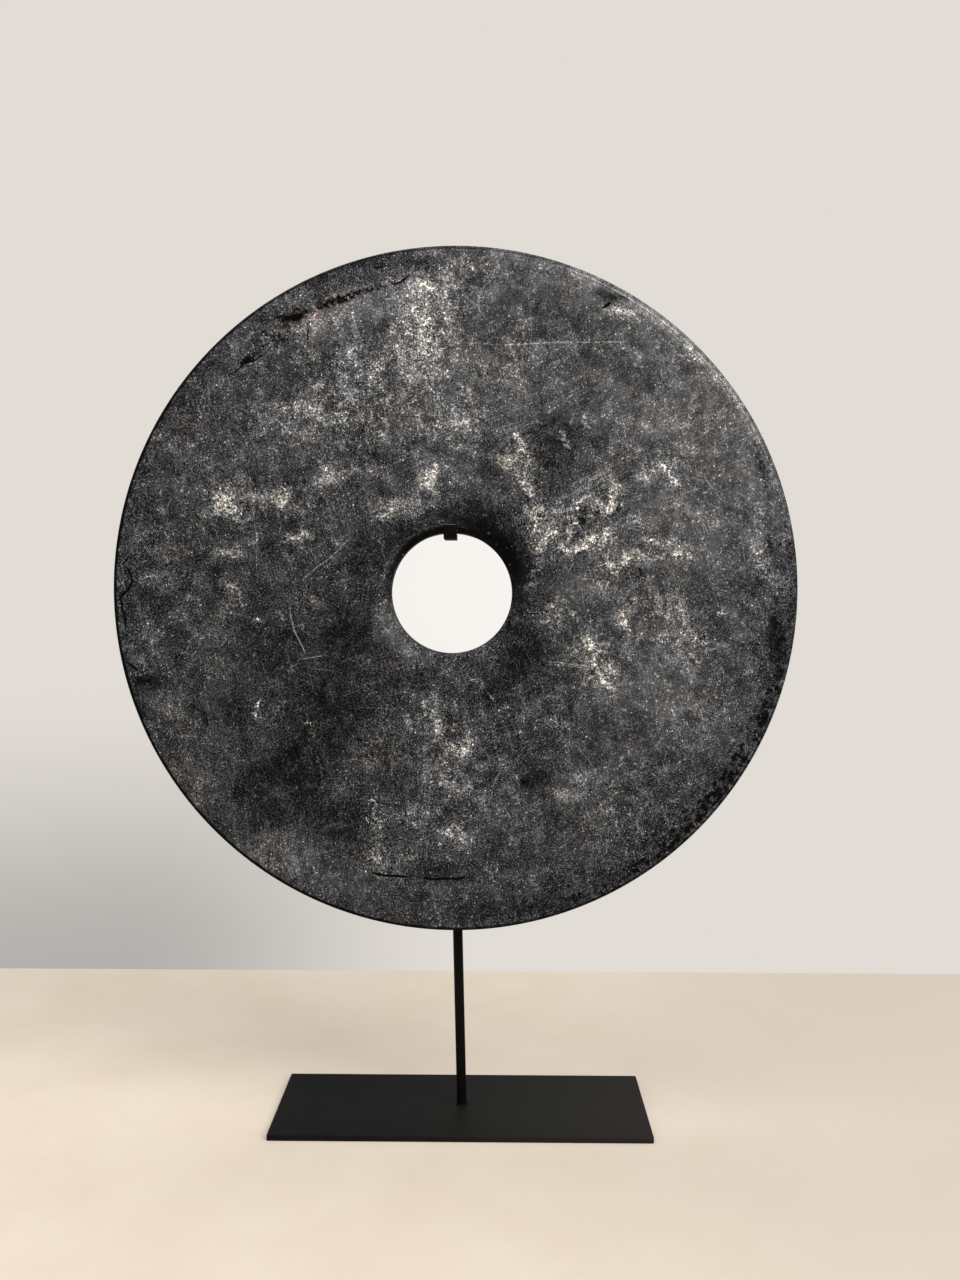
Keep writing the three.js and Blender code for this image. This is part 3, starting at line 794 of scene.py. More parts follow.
SCRATCHES = [
    (0, 0.45, (52, 45), (66, 54.5), (75, 61)), (0, 0.4, (60, 48.4), (66, 52.6)),
    (0, 0.35, (62, 55), (70, 60)), (0, 0.4, (65, 50), (73, 55.6)), (0, 0.3, (72, 60), (84, 69)),
    (0, 0.4, (57, 53), (64, 57.4)), (0, 0.3, (76, 62), (90, 67)),
    (0, 0.45, (18, 76.5), (28, 80), (36, 83.4)), (0, 0.35, (16, 79.5), (33, 85)),
    (0, 0.7, (25, 122.2), (50, 123.6), (82, 123.8)), (0, 0.3, (0, 123.4), (25, 122.2)),
    (0, 0.4, (-101, 43), (-100, 35), (-99, 28), (-99, 10)),
    (0, 0.6, (-76, 6), (-68, 13), (-60, 19), (-53, 26)),
    (0.15, 1.1, (-82, -12), (-80.5, -19), (-78, -24), (-75.5, -29)),
    (0, 0.6, (-83.6, -31), (-82, -38)), (0.05, 0.8, (-75, -33.6), (-70, -32.6), (-66, -32)),
    (0, 0.4, (-74, -38), (-58, -40)), (0, 0.5, (-47, -58), (-30, -58.6)),
    (0, 0.5, (-45, -47), (-46.6, -54)), (0, 0.35, (-46, -47), (-42, -46)),
    (0, 0.45, (-45, -67.6), (-39, -63.4)), (0, 0.5, (-47, -76), (-38, -75)),
    (0.1, 0.55, (-56, -85), (-50, -84), (-41, -86)), (0, 0.4, (-52, -60), (-52, -65)),
    (0, 0.55, (-31.5, -86), (-31.5, -93)), (0.1, 0.6, (19, -101), (20, -96), (22.4, -91)),
    (0, 0.5, (2, -116.6), (10, -113.4)), (0.05, 0.7, (47, -34.6), (58, -35.6), (68, -37)),
    (0, 0.35, (47, -36), (60, -37)), (0, 0.4, (53, -59), (59, -54)),
    (0, 0.3, (-24, -54), (-25, -60)), (0.05, 0.6, (63, -79), (68, -84.4)),
    (0.05, 0.6, (44, -62), (49, -68)), (0, 0.45, (48, -63), (52, -66)),
    (0, 0.45, (71, -90), (72, -95)), (0, 0.45, (99, -90), (103, -95)),
    (0, 0.5, (124, 57), (131, 48)), (0, 0.35, (92, 16.3), (99, 16.8)),
    (0, 0.4, (-66, 38), (-63, 42)), (0, 0.35, (-122, 55), (-118, 52)),
    (0, 0.3, (40, -150), (60, -146)), (0, 0.3, (128, 72), (140, 80)),
    (0, 0.35, (-28, -56), (-22, -46)),
]
print("gashes", len(GASHES), "scratches", len(SCRATCHES))

# %% [markdown]
# The last masks follow the rim and the hole. Towards the upper right the worn edge is rubbed
# pale and carries a painted highlight, where the window lights it, and towards the lower right
# old grime has stayed black in a ragged band along it. The very edge has painted shade on the
# left, where it turns away from the light, and a painted glint, a thin line of light, at the
# lower right. The hole has painted shade round its upper right and along its top, where its
# worn edge faces away from the light. Striae are sets of fine parallel scratches from grinding,
# and streaks are dirt that was wiped up and down.
#
# The back has no plan of its own. It shows the same minerals mirrored, turned and weaker, so
# that it is a plausible back and not a copy. Cracks, pits and rim marks stay on the front.

# %% Write the masks on the mesh
STRIAE = [
    (73, 57, 20, 9, 30, 0.9), (28, 81, 14, 5, 18, 0.7), (-50, -80, 12, 12, 0, 0.3),
    (100, 100, 40, 30, 30, 0.3), (60, 90, 40, 20, 20, 0.3),
]
STREAKS = [
    (-85, -130, 30, 16, -28, 1.0), (-48, -86, 8, 7, 0, 0.8), (0, -150, 60, 14, 0, 0.5),
    (50, -100, 40, 20, 0, 0.4),
]


def sweep(angles, middle, half_width):
    """A smooth share that is 1 in one direction and 0 a half width away from it."""
    away = abs((angles - middle + 180) % 360 - 180)
    return np.clip(1 - away / half_width, 0, 1)


MASK_REACH = 3
BACK_TURN = math.radians(130)
BACK_STRENGTH = 0.75


def both_faces(points):
    """Where each point lies on the drawn plan, and how much of the plan it shows."""
    depth = points[:, 1]
    front = np.clip(1 - depth / MASK_REACH, 0, 1)
    back = np.clip(1 - (THICKNESS - depth) / MASK_REACH, 0, 1) * BACK_STRENGTH
    across, up = -points[:, 0], points[:, 2]
    turned_across = across * math.cos(BACK_TURN) - up * math.sin(BACK_TURN)
    turned_up = across * math.sin(BACK_TURN) + up * math.cos(BACK_TURN)
    on_back = depth > THICKNESS / 2
    plan = np.column_stack([np.where(on_back, turned_across, points[:, 0]),
                            np.where(on_back, turned_up, points[:, 2])])
    return plan, front, np.maximum(front, back)


def write_masks(mesh, points):
    """Stores each mask as a value on the points of the mesh."""
    plan, front, shown = both_faces(points)
    edge = np.clip(1.5 - points[:, 1] / 2, 0, 1)
    flat = points[:, [0, 2]]
    angles = np.degrees(np.arctan2(flat[:, 1], flat[:, 0]))
    inset = RIM_RADIUS - np.hypot(flat[:, 0], flat[:, 1])
    from_hole = flat - np.array(HOLE_OFF_CENTRE)
    hole_gap = np.hypot(from_hole[:, 0], from_hole[:, 1]) - HOLE_RADIUS
    hole_angles = np.degrees(np.arctan2(from_hole[:, 1], from_hole[:, 0]))
    _, lime_gap, lime_strength = nearest_line(plan, LIME)
    _, gash_gap, gash_strength = nearest_line(plan, GASHES)
    scratch_offset, _, scratch_strength = nearest_line(plan, SCRATCHES)
    crack_offset, _, crack_strength = nearest_line(flat, CRACKS)
    # Painted shade: a dark crescent round the upper right of the hole, where its worn edge faces
    # away from the light, and a thin dark line round its top.
    hole_crescent_shade = sweep(hole_angles, 42, 78) * np.clip(1.9 - hole_gap / 6, 0, 1.2)
    hole_ring = np.clip(1.5 * sweep(hole_angles, 85, 120), 0, 1)
    hole_ring = hole_ring * np.clip(3.0 - hole_gap / 1.2, 0, 1)
    masks = {
        "cloud": ovals(plan, CLOUD) * shown,
        "crust": ovals(plan, CRUST) * shown,
        "haze_and_sheen": ovals(plan, HAZE_AND_SHEEN) * shown,
        "dark": ovals(plan, DARK) * shown,
        "rust": ovals(plan, RUST) * shown,
        "hole_shade": np.maximum(hole_crescent_shade, hole_ring) * np.clip(2 - points[:, 1] / 3, 0, 1),
        "striae": ovals(plan, STRIAE) * shown,
        "streaks": ovals(plan, STREAKS) * shown,
        "pit": np.clip(ovals(flat, PITS) * 2.2, 0, 1) * front,
        "lime_gap": lime_gap,
        "lime_strength": lime_strength * shown,
        "gash_gap": gash_gap,
        "gash_strength": gash_strength * shown,
        "inset": inset,
        "scratch_offset": scratch_offset,
        "scratch_strength": scratch_strength * shown,
        "crack_offset": crack_offset,
        "crack_strength": crack_strength * front,
        # Painted light on the rim: a highlight over the rubbing on the upper right, shade on the
        # very edge at the left, and a glint on the lower right.
        "rim_rubbed_and_lit": sweep(angles, 50, 50) * np.clip(1 - abs(inset - 2.2) / 5, 0, 1) * front,
        "rim_dark": sweep(angles, -36, 66) * np.clip(1 - abs(inset - 3.5) / 14, 0, 1) * front,
        "rim_shade_line": (0.1 + sweep(angles, 205, 135) * 1.3).clip(0, 1) * edge,
        "rim_glint": sweep(angles, -35, 50) * front,
    }
    for name, values in masks.items():
        layer = mesh.attributes.new(name, "FLOAT", "POINT")
        layer.data.foreach_set("value", values.astype(np.float32))
    return masks


masks = write_masks(stone_mesh, coordinates)
print("masks:", ", ".join(masks))

# %% Put the stone on the stand


def show(mesh, name, slot, *nodes):
    """Makes a mesh a piece of the object that stands for one or more pieces of the frame."""
    piece = add_to_scene(name, mesh)
    mesh.shade_smooth()
    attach(piece, "root")
    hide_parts(*nodes)
    return piece


worn_points = coordinates + np.column_stack([0 * worn, worn, 0 * worn])
placed = (worn_points + np.array([DISC_X, FRONT_FACE, DISC_Z])) * MM
stone_mesh.vertices.foreach_set("co", placed.ravel())
show(stone_mesh, "stone_disc", "jade", "jade_disc")
triangles = sum(len(face.vertices) - 2 for face in stone_mesh.polygons)
print("triangles in the stone:", triangles)

# %% [markdown]
# ## The finish of the stone
#
# The eye judges a dark stone by how light each spot looks, so the mineral layers are added up
# as lightness, from 0 for black to 1 for white. Only at the end does a power turn lightness
# into the share of light that the surface sends back, and a tint gives it a cool cast where it
# is dark, a cream one where lime lies and a red-brown one where iron has stained it.
#
# Specks come from fine noise cut off at a level: where the cloud mask is strong the level
# drops, and more specks show. That gives ragged flecks of many sizes, which dots of one
# size never do. Blunt grains of two sizes lie among them, each with a brightness of its own.
#
# The lime breaks up into beads along its strokes, and a fine lace joins them, because lime
# first fills the hair cracks of the stone. Gashes are the same idea in black.

# %% The ground of the stone
jade, jade_shader, place = new_finish("dark_jade", specular=0.06)
middle = place.moved(shift=(17, 5, 3)).noise(8, 4, 0.65)
small = place.moved(shift=(3, 9, 41)).noise(2.4, 3, 0.7)
fine = place.moved(shift=(40, 2, 8)).noise(0.75, 3, 0.8)
mottle = place.noise(11, 6, 0.75) - 0.5
rough_edge = (middle - 0.5) * 1.5 + (small - 0.5) * 0.9

cloud = (place.attribute("cloud") + rough_edge).ramp(0.0, 1.25)
crust = place.attribute("crust")
# This mask is partly a grey film and partly a painted sheen on the upper right.
haze_and_sheen = place.attribute("haze_and_sheen")
dark = (place.attribute("dark") + rough_edge).ramp(0.25, 0.85)

islands = place.noise(21, 6, 0.66, 0.6).ramp(0.490, 0.510)
islets = place.moved(shift=(60, 11, 5)).noise(9, 5, 0.68, 0.5).ramp(0.535, 0.550)
worms = place.moved(shift=(4, 22, 90)).noise(4.5, 3, 0.55)
ridges = abs(worms - 0.5).ramp(0.024, 0.006) * middle.ramp(0.42, 0.58)
splinters = place.moved(scale=(1, 1, 0.5), turn=(0, 35, 0)).shaken(2.0, 1.0).shards(1.4) ** 2.0

CLEAN_STONE = 0.139
ground = CLEAN_STONE + haze_and_sheen * 0.125 + cloud * 0.080 - dark * 0.080 + mottle * 0.20
ground = ground + islands * 0.034 - islets * 0.034
clinging = haze_and_sheen * 0.7 + cloud * 0.9 - dark * 0.5 + mottle * 3.0 + (small - 0.5) * 0.5
ground = ground + clinging.ramp(0.40, 0.48) * 0.022
busy = (0.74 + cloud * 0.5 + crust * 0.4 - dark * 0.2 - haze_and_sheen * 0.34).most(0.40)
ground = ground + (fine - 0.5) * busy * 1.35 + fine.ramp(0.54, 0.66) * busy * 0.26
ground = ground + (small - 0.5) * busy * 0.20 + ridges * busy * 0.105
ground = ground + splinters ** 2.0 * busy * 0.10
print("ground mixed")

# %% Specks, crust and veins
density = cloud * 0.9 + crust * 0.4 + haze_and_sheen * 0.15 - dark * 0.5 + mottle * 2.2
shine = 0.35 + place.shards(1.3) * 0.65
fleck = place.noise(1.1, 3, 0.7)
specks = (fleck - density.ramp(-0.6, 1.3, 0.68, 0.485)).ramp(0.0, 0.045) * shine
coarse = place.moved(shift=(31, 7, 12)).noise(2.3, 4, 0.75)
blooms = (coarse - density.ramp(-0.4, 1.4, 0.70, 0.54)).ramp(0.0, 0.04) * shine
ragged = place.shaken(1.6, 0.8)
dust_grains = ragged.grains(1.3, density.ramp(-0.5, 1.4, 0.10, 0.62))
crumbs = ragged.moved(shift=(8, 4, 66)).grains(3.0, density.ramp(-0.3, 1.4, 0.03, 0.30))

lime_gap = place.attribute("lime_gap") + (coarse - 0.5) * 2.8 + (small - 0.5) * 1.6
lime_strength = place.attribute("lime_strength")
bead = place.moved(shift=(12, 33, 4)).noise(1.3, 4, 0.75)
pearl = place.moved(shift=(2, 13, 24)).shards(1.1)
lime = (bead - lime_gap.ramp(-1.6, 1.6, 0.42, 0.66)).ramp(0.0, 0.06)
lime = lime * lime_strength * (0.25 + pearl ** 1.5 * 1.15).most(lime_strength.ramp(0.8, 1.2))
lace = place.shaken(4.0, 3.0).net_lines(3.6).ramp(0.15, 0.03) * bead.ramp(0.38, 0.54)
web = (place.attribute("lime_gap").ramp(5.0, 0.0) * lime_strength * 0.6 + crust * 0.7).least(1.0)
crusty = (crust + (middle - 0.5) * 1.6).ramp(0.45, 1.1)
crusty = (bead - crusty.ramp(0.0, 1.0, 0.70, 0.50)).ramp(0.0, 0.06) * (0.3 + shine * 0.5)
crumb = place.moved(shift=(70, 3, 34)).noise(1.2, 3, 0.7)
gash_gap = place.attribute("gash_gap") + (coarse - 0.5) * 5.0
gash = (crumb - gash_gap.ramp(-1.6, 1.6, 0.41, 0.68)).ramp(0.0, 0.04)
gash = gash * place.attribute("gash_strength")
print("minerals mixed")

# %% Scratches, striae and dirt


def parallel_lines(place, angle, spacing, length, seed):
    """Long thin marks that all run one way across the face."""
    run = place.moved(turn=(0, angle, 0))
    run = run.moved(scale=(1 / length, 1 / 12, 1 / spacing), shift=(seed, 0, seed))
    return run.noise(1.0, 1, 0.5)


def stray_marks(place, angles):
    """Short hairline scratches that run in several directions, faint where they cross."""
    marks = 0.0
    for count, angle in enumerate(angles):
        lines = parallel_lines(place, angle, 0.55, 9 + 3 * count, 21 + 13 * count)
        marks = lines.ramp(0.63, 0.68) + marks
    return marks.least(1.0)


scratch = abs(place.attribute("scratch_offset") + (middle - 0.5) * 0.8).ramp(0.40, 0.16)
scratch = scratch * place.attribute("scratch_strength") * small.ramp(0.3, 0.5)
rising = parallel_lines(place, 30, 0.6, 22, 3).ramp(0.55, 0.60) * place.attribute("striae")
upright = (parallel_lines(place, 88, 0.9, 9, 8) - 0.5) * place.attribute("streaks")
stray = stray_marks(place, (62, -24, 20, -70, 100)) * middle.ramp(0.40, 0.58)
hairs = place.shaken(9.0, 6.0).net_lines(17.0).ramp(0.022, 0.006) * small.ramp(0.4, 0.6)
rim_dark = place.attribute("rim_dark")
flecked = place.moved(shift=(19, 6, 44)).noise(2.4, 4, 0.72)
grime = (flecked - rim_dark.ramp(0.0, 1.0, 0.63, 0.43)).ramp(0.0, 0.07) * rim_dark.ramp(0.0, 0.2)
pit = (place.attribute("pit") + rough_edge).ramp(0.45, 0.75)
# Painted shade round the upper right of the hole, with specks laid over it later.
hole_shade = (place.attribute("hole_shade") + rough_edge * 0.4 + (fine - 0.5) * 1.2).ramp(0.1, 1.0)
inset = place.attribute("inset")
# Painted shade: the very edge of the rim is darkened on the left, where it turns away from the
# light.
outline = (inset + (middle - 0.5) * 0.9).ramp(2.1, 1.4) * place.attribute("rim_shade_line")
# A painted glint: a thin line of light on the edge at the lower right.
glint = abs(inset - 1.9 + (middle - 0.5) * 0.6).ramp(0.6, 0.2) * place.attribute("rim_glint")
# Rubbed lines on the upper right rim, painted pale as a highlight where the window lights them.
rubbed_and_lit = abs(inset - 2.4).least(abs(inset - 4.2)).ramp(0.55, 0.15) * place.attribute("rim_rubbed_and_lit")
pinholes = place.moved(shift=(5, 50, 9)).noise(1.1, 2, 0.6).ramp(0.37, 0.31)
print("scratches and dirt mixed")

# %% Add the layers up
# A grainy painted highlight along the lit upper right of the rim.
rim_grain_highlight = place.attribute("rim_rubbed_and_lit") * (small + fine * 0.6 - 0.38)
LAYERS_ON_TOP = [
    (specks, 0.42), (blooms, 0.20), (lime, 0.50), (crusty, 0.18), (dust_grains, 0.40),
    (crumbs, 0.22), (lace * web, 0.22), (rising, 0.11), (upright, 0.25), (stray, 0.15),
    (scratch, 0.34), (hairs, -0.08), (rim_grain_highlight, 0.5), (pinholes, -0.09),
    (rubbed_and_lit * small.ramp(0.3, 0.55), 0.22),
]
# Real stains, grime, pits and gashes, with painted shade among them: the dark crescent round the
# hole and the dark left edge of the rim.
STAINS_AND_SHADE = [(grime, 0.80), (rim_dark, 0.15), (pit, 0.55), (gash, 0.85), (hole_shade, 0.82), (outline, 0.85)]
light = ground
for layer, lightness in LAYERS_ON_TOP:
    light = light + layer * lightness
for stain, depth in STAINS_AND_SHADE:
    light = light * (1 - stain * depth)
light = light + hole_shade * (dust_grains * 0.35 + crumbs * 0.25)

crack_strength = place.attribute("crack_strength")
from_crack = abs(place.attribute("crack_offset") + (middle - 0.5) * 0.7)
cleft = (from_crack - crack_strength * 0.45).ramp(0.30, -0.05) * crack_strength.ramp(0.0, 0.7)
DARKEST = 0.02
# The painted glint is added last, over the cracks.
light = (light * (1 - cleft * 0.95) + glint * 0.13).most(DARKEST)
print("layers added:", len(LAYERS_ON_TOP) + len(STAINS_AND_SHADE))

# %% Tint the stone
iron = place.attribute("rust") * middle.ramp(0.4, 0.65)
drift = place.moved(shift=(9, 1, 70)).noise(22, 3, 0.6) - 0.5
warm = lime * 0.5 + specks * 0.2 + (light - 0.26) * 1.3 + drift * 1.8
COOL_TINT = (0.93, 0.985, 1.11, 1)
CREAM_TINT = (1.055, 1.0, 0.915, 1)
IRON_TINT = (1.16, 0.975, 0.935, 1)
tint = warm.ramp(-0.5, 1.2).blend(COOL_TINT, CREAM_TINT)
tint = iron.ramp(0.05, 0.85).blend(tint, IRON_TINT)
LIGHTNESS_POWER = 2.2
share_sent_back = light ** LIGHTNESS_POWER
colour = tint.node("VectorMath", {"operation": "SCALE"}, {0: tint, "Scale": share_sent_back})

rough = 0.48 + specks * 0.15 + lime * 0.25 + (middle - 0.5) * 0.3
raised = specks * 0.35 + lime * 0.8 + fine * 0.5 + small * 0.6
cut_in = scratch * 0.6 + rising * 0.4 + pinholes * 0.9
wear_finish(jade_shader, colour, rough.least(0.9).most(0.25), raised - cut_in, 0.05)
stone_mesh.materials.append(jade)
print("jade nodes:", len(jade.node_tree.nodes))

# %% [markdown]
# ## The stand
#
# The stand is plain mild steel, cut, bent and welded, and sprayed satin black. Its four pieces
# stay separate. The plate has its corners and edges just broken with a file. A block with a
# bevel would do, but here the outline is drawn as a rounded oblong and carried up from the
# underside, over the broken edge and inwards, so that each edge gets just the softness it needs.
# The same oblong gives the section of the hook later on.

# %% The plate
plate_low, plate_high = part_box("base_plate")
PLATE_CORNER = 0.8
SHARPEST_CORNER = 0.05
EDGE_BREAK = 0.35
PLATE_CORNER_STEPS = 5


def oblong(half_width, half_height, corner, steps):
    """A rounded oblong round its middle, with that many points on each corner."""
    outline = []
    for turn, right, upper in ((0, 1, 1), (90, -1, 1), (180, -1, -1), (270, 1, -1)):
        for step in range(steps):
            angle = math.radians(turn + 90 * step / (steps - 1))
            x = right * (half_width - corner) + corner * math.cos(angle)
            y = upper * (half_height - corner) + corner * math.sin(angle)
            outline.append((x, y))
    return outline


def plate_outline(shrink):
    """The plate's outline seen from above, drawn in by shrink, with filed corners."""
    half_x = (plate_high.x - plate_low.x) / 2 / MM - shrink
    half_y = (plate_high.y - plate_low.y) / 2 / MM - shrink
    corner = max(PLATE_CORNER - shrink, SHARPEST_CORNER)
    return oblong(half_x, half_y, corner, PLATE_CORNER_STEPS)


def plate_mesh():
    """The sheet as rings of its outline: up from the underside, over the edge and inwards."""
    thick = (plate_high.z - plate_low.z) / MM
    arris = [(EDGE_BREAK, 0.0), (0.1, 0.1), (0.0, EDGE_BREAK)]
    rings = [(12, 0.0), (1.5, 0.0)] + arris
    rings += [(shrink, thick - height) for shrink, height in reversed(arris)]
    rings += [(shrink, thick) for shrink in (1.5, 4, 10, 20, 34)]
    points = [(x, y, height) for shrink, height in rings for x, y in plate_outline(shrink)]
    faces = bridge(len(rings), 4 * PLATE_CORNER_STEPS, closed=False)
    return mesh_from("plate_steel", points, faces)


plate = show(plate_mesh(), "foot_plate", "black_steel", "base_plate")
print("plate points:", len(plate.data.vertices))

# %% [markdown]
# The rod leans a little to the left. It is swept along the line from its foot to the ring, with
# a thin throat of weld where it meets the plate. Its top end is hidden inside the bar of the
# ring, where the two were welded. Both are swept round with enough sides to look turned.

# %% The rod and the ring
rod_low, rod_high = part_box("rod")
ring_low, ring_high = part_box("support_ring")
ROD_RADIUS = (rod_high.y - rod_low.y) / 2 / MM
RING_MIDDLE = (ring_low + ring_high) / 2 / MM
RING_RADIUS = (ring_high.x - ring_low.x) / 2 / MM - ROD_RADIUS
ROD_SIDES = 48
RING_STEPS = 180
WELD_THROAT = 0.6
WELD_HEIGHT = 1.2


def round_section(radius):
    """The section of a round bar about its middle line."""
    angles = [2 * math.pi * side / ROD_SIDES for side in range(ROD_SIDES)]
    return [(radius * math.cos(angle), radius * math.sin(angle)) for angle in angles]


def rod_mesh():
    """A round bar from the top of the plate to the middle of the ring's bar."""
    foot = rod_low.z / MM
    length = RING_MIDDLE.z - RING_RADIUS - foot
    points = []
    heights = [*np.linspace(0, WELD_HEIGHT, 6), *np.linspace(4, length, 30)]
    for height in heights:
        lean = RING_MIDDLE.x * height / length
        throat = WELD_THROAT * max(1 - height / WELD_HEIGHT, 0) ** 2
        for across, back in round_section(ROD_RADIUS + throat):
            points.append((lean + across, back, foot + height))
    return mesh_from("rod_steel", points, bridge(len(heights), ROD_SIDES, closed=False))


def ring_mesh():
    """Round bar bent into a ring that stands upright behind the stone."""
    points = []
    for step in range(RING_STEPS):
        turn = 2 * math.pi * step / RING_STEPS
        for outward, back in round_section(ROD_RADIUS):
            reach = RING_RADIUS + outward
            across = RING_MIDDLE.x + reach * math.cos(turn)
            up = RING_MIDDLE.z + reach * math.sin(turn)
            points.append((across, RING_MIDDLE.y + back, up))
    return mesh_from("ring_steel", points, bridge(RING_STEPS, ROD_SIDES, closed=True))


rod = show(rod_mesh(), "stand_rod", "black_steel", "rod")
ring = show(ring_mesh(), "back_ring", "black_steel", "support_ring")
print("rod radius", round(ROD_RADIUS, 2), "ring radius", round(RING_RADIUS, 2), "mm")

# %% [markdown]
# The hook is a strip of flat bar. It comes forward from the ring through the hole of the stone
# and turns up in front as a short lip. A rounded oblong section is carried along that path, and
# shrinks at the end so that the cut end has softened edges too.

# %% The hook
hook_low, hook_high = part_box("hook")
HOOK_THICKNESS = 3.1
HOOK_BEND = 0.8
HOOK_ARRIS = 0.4
HOOK_CORNER_STEPS = 6
HOOK_TURN_STEPS = 10


def hook_path():
    """Stops along the strip's middle line: (y, z, lean in radians, shrink at the end)."""
    bend_y = hook_low.y / MM + HOOK_THICKNESS + HOOK_BEND
    bend_z = hook_low.z / MM + HOOK_THICKNESS + HOOK_BEND
    reach = HOOK_BEND + HOOK_THICKNESS / 2
    stops = [(y, bend_z - reach, 0.0, 0.0) for y in np.linspace(hook_high.y / MM, bend_y, 12)]
    for step in range(1, HOOK_TURN_STEPS + 1):
        turn = math.pi / 2 * step / HOOK_TURN_STEPS
        stops.append((bend_y - reach * math.sin(turn), bend_z - reach * math.cos(turn), turn, 0.0))
    top = hook_high.z / MM
    for below, shrink in ((HOOK_ARRIS, 0.0), (HOOK_ARRIS / 4, HOOK_ARRIS / 4), (0.0, HOOK_ARRIS)):
        stops.append((bend_y - reach, top - below, math.pi / 2, shrink))
    return stops


def hook_mesh():
    """The section carried along the path."""
    middle_x = (hook_low.x + hook_high.x) / 2 / MM
    half_width = (hook_high.x - hook_low.x) / 2 / MM
    path = hook_path()
    points = []
    for y, z, lean, shrink in path:
        sizes = (half_width - shrink, HOOK_THICKNESS / 2 - shrink)
        for across, through in oblong(*sizes, HOOK_ARRIS, HOOK_CORNER_STEPS):
            y_out = y - through * math.sin(lean)
            points.append((middle_x + across, y_out, z - through * math.cos(lean)))
    return mesh_from("hook_steel", points, bridge(len(path), 4 * HOOK_CORNER_STEPS, closed=False))


hook = show(hook_mesh(), "stone_hook", "black_steel", "hook")
print("hook points:", len(hook.data.vertices))

# %% [markdown]
# ## Black paint
#
# Black paint, sprayed over bare steel: nearly no colour, a fine orange-peel skin, a little dust
# and a few rubbed spots. The plate has a satin coat that mirrors some of the room, and a painted
# sheen that lightens it towards its right. The rod, the ring and the hook get a darker, duller
# copy of the same paint, which paints in the shade that falls on them. The top of the hook's lip
# is painted pale grey, as a highlight where it catches the light.

# %% Mix the paint
SHEEN_BLACK = (0.022, 0.0205, 0.018, 1)
SCUFFED_BLACK = (0.05, 0.048, 0.043, 1)
LIP_HIGHLIGHT_GREY = (0.16, 0.155, 0.15, 1)


def black_paint(name, specular, deepest, lightest, painted_sheen=0.0):
    """A black paint: its shine, its deepest and lightest black, and how strong a painted sheen on
    its right is.
    """
    paint, shader, spot = new_finish(name, specular)
    peel = spot.noise(0.7, 2, 0.5)
    cloudy = spot.noise(14, 3, 0.6)
    scuff = spot.moved(scale=(0.4, 1.0, 1.0)).noise(2.2, 4, 0.7).ramp(0.64, 0.74)
    scuff = scuff * cloudy.ramp(0.5, 0.66)
    dust = spot.noise(0.8, 1, 0.5).ramp(0.74, 0.80) * cloudy.ramp(0.45, 0.6)
    # A painted highlight on the top of the hook's lip, mixed in with the real scuffs and dust.
    lip_highlight = spot.attribute("lip_highlight")
    deep_black = (deepest, deepest, deepest * 0.94, 1)
    light_black = (lightest, lightest * 0.96, lightest * 0.88, 1)
    black = cloudy.ramp(0.3, 0.7).blend(deep_black, light_black)
    # Painted sheen: the paint grows lighter towards the right, where the window is mirrored.
    black = (spot.along(0).ramp(-70, 110) * painted_sheen).blend(black, SHEEN_BLACK)
    scuffed_and_lit_black = (scuff * 0.2 + dust * 0.3 + lip_highlight).least(1.0).blend(black, SCUFFED_BLACK)
    black_with_highlight = lip_highlight.ramp(0.3, 1.0).blend(scuffed_and_lit_black, LIP_HIGHLIGHT_GREY)
    rough = 0.50 + (cloudy - 0.5) * 0.12 + scuff * 0.15
    wear_finish(shader, black_with_highlight, rough, peel, 0.012)
    print(name, "nodes:", len(paint.node_tree.nodes))
    return paint


satin_black = black_paint("satin_black", 0.10, 0.0030, 0.0055, painted_sheen=0.7)
# A darker, duller copy of the same paint, standing in for the shade on the rod, the ring and the
# hook.
shaded_black = black_paint("shaded_black", 0.06, 0.0020, 0.0035)
plate.data.materials.append(satin_black)
for piece in (rod, ring, hook):
    piece.data.materials.append(shaded_black)

# %% Paint a highlight on the top of the hook's lip
heights = np.array([vertex.co.z for vertex in hook.data.vertices]) / MM
# Painted highlight: the top of the lip is lighter, where it catches the light.
lip_highlight = np.clip(1 - (hook_high.z / MM - heights) / (HOOK_ARRIS * 0.9), 0, 1)
lip_highlight_layer = hook.data.attributes.new("lip_highlight", "FLOAT", "POINT")
lip_highlight_layer.data.foreach_set("value", lip_highlight.astype(np.float32))
print("bared points on the lip:", int((lip_highlight > 0).sum()))

# %% [markdown]
# ## The floor and the backdrop
#
# A pale slab to stand on, with painted shade that darkens it towards the right. It ends a little
# way behind the stand, as a table top does. The backdrop is the pale shell: a big ball round
# everything that only the camera can see. It is brightest straight behind the object, and
# shaded towards the lower left.

# %% Lay the floor
FLOOR_BACK = 226
FLOOR_REACH = 3000
FLOOR_DEPTH = 30


def floor_corners(height):
    """The four corners of the slab at one height."""
    return [(x, y, height) for x, y in ((-FLOOR_REACH, -FLOOR_REACH), (FLOOR_REACH, -FLOOR_REACH),
                                        (FLOOR_REACH, FLOOR_BACK), (-FLOOR_REACH, FLOOR_BACK))]


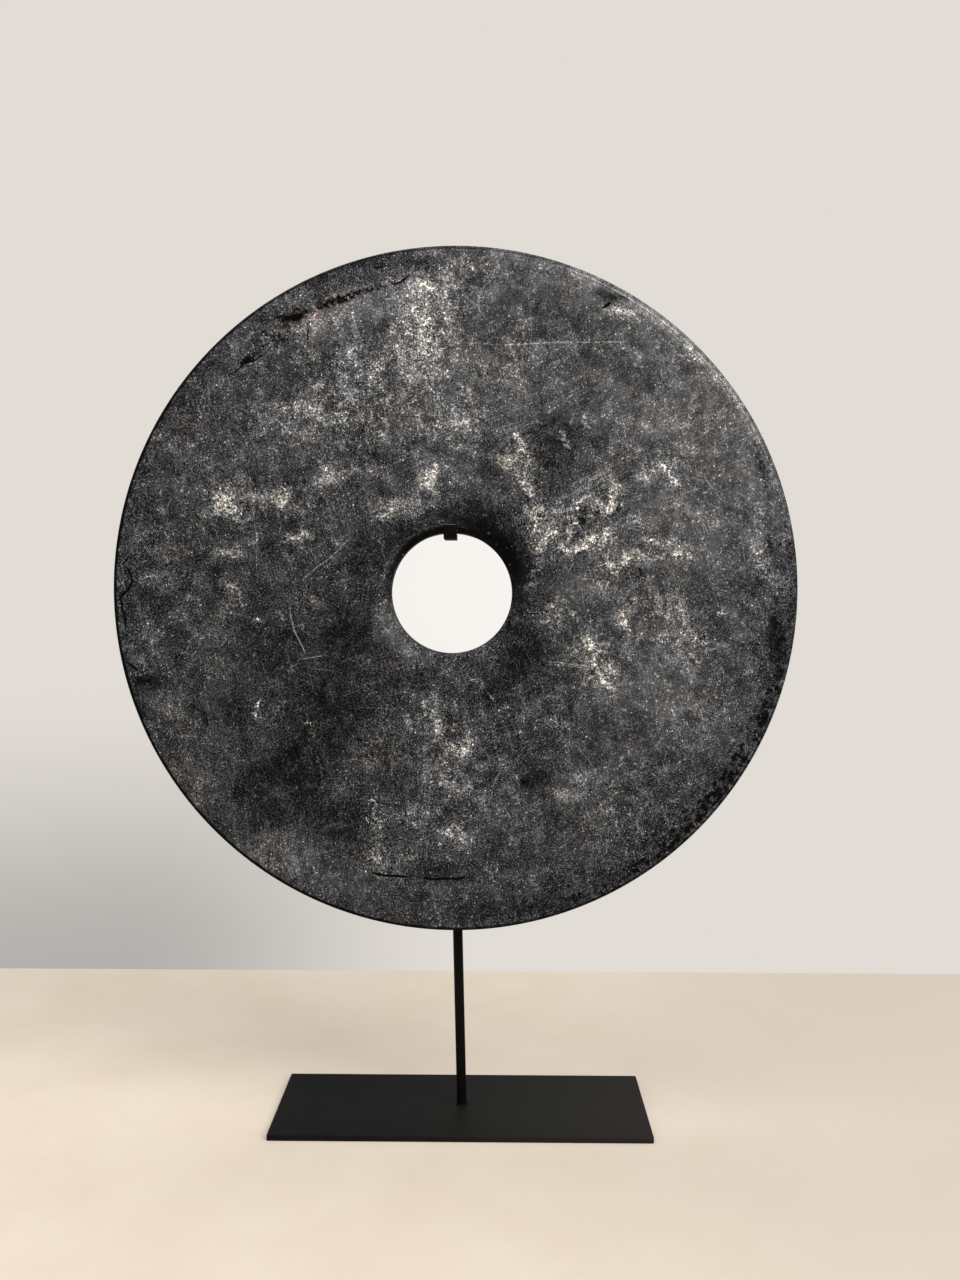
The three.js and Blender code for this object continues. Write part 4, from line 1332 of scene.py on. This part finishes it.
slab = floor_corners(-FLOOR_DEPTH) + floor_corners(0)
floor_mesh = mesh_from("floor", slab, bridge(2, 4, closed=False))
floor = add_to_scene("floor", floor_mesh)
pale, pale_shader, where = new_finish("pale_floor", specular=0.2)
SAND = (0.72, 0.615, 0.50, 1)
PALE_SAND = (0.77, 0.67, 0.56, 1)
SHADED_SAND = (0.60, 0.525, 0.445, 1)
wash = where.noise(70, 4, 0.6).ramp(0.25, 0.75).blend(SAND, PALE_SAND)
# Painted shade: the sand darkens towards the right.
wash = where.along(0).ramp(-60, 300).blend(wash, SHADED_SAND)
wear_finish(pale_shader, wash, where.noise(8, 2, 0.5) * 0.2 + 0.6, where.noise(4, 4, 0.6), 0.15)
floor_mesh.materials.append(pale)
print("floor laid")

# %% Hang the backdrop
SHELL_RADIUS = 6.0
GLOW_ACROSS = -100
GLOW_UP = 270
ball = bmesh.new()
bmesh.ops.create_icosphere(ball, subdivisions=4, radius=SHELL_RADIUS)
shell_mesh = as_mesh("backdrop", ball)
shell_mesh.shade_smooth()
shell = add_to_scene("backdrop", shell_mesh)
for kind in ("diffuse", "glossy", "transmission", "volume_scatter", "shadow"):
    setattr(shell, "visible_" + kind, False)

glow, glow_shader, sky = new_finish("backdrop_glow", specular=0.0)
across = sky.along(0)
upward = sky.along(2)
shade = across.ramp(0, -1900) * upward.ramp(-200, -1700)
beside_glow = across - GLOW_ACROSS
above_glow = upward - GLOW_UP
from_glow = (beside_glow * beside_glow + above_glow * above_glow) ** 0.5
WALL_COLOUR = (0.755, 0.715, 0.665, 1)
BRIGHTEST_WALL = (0.93, 0.90, 0.86, 1)
SHADED_WALL = (0.45, 0.438, 0.415, 1)
wall = from_glow.ramp(1500, 200).blend(WALL_COLOUR, BRIGHTEST_WALL)
wall = shade.blend(wall, SHADED_WALL)
glow_shader.inputs["Base Color"].default_value = (0, 0, 0, 1)
glow_shader.inputs["Emission Strength"].default_value = 1.0
glow.node_tree.links.new(wall.socket, glow_shader.inputs["Emission Color"])
shell_mesh.materials.append(glow)
print("backdrop hung")
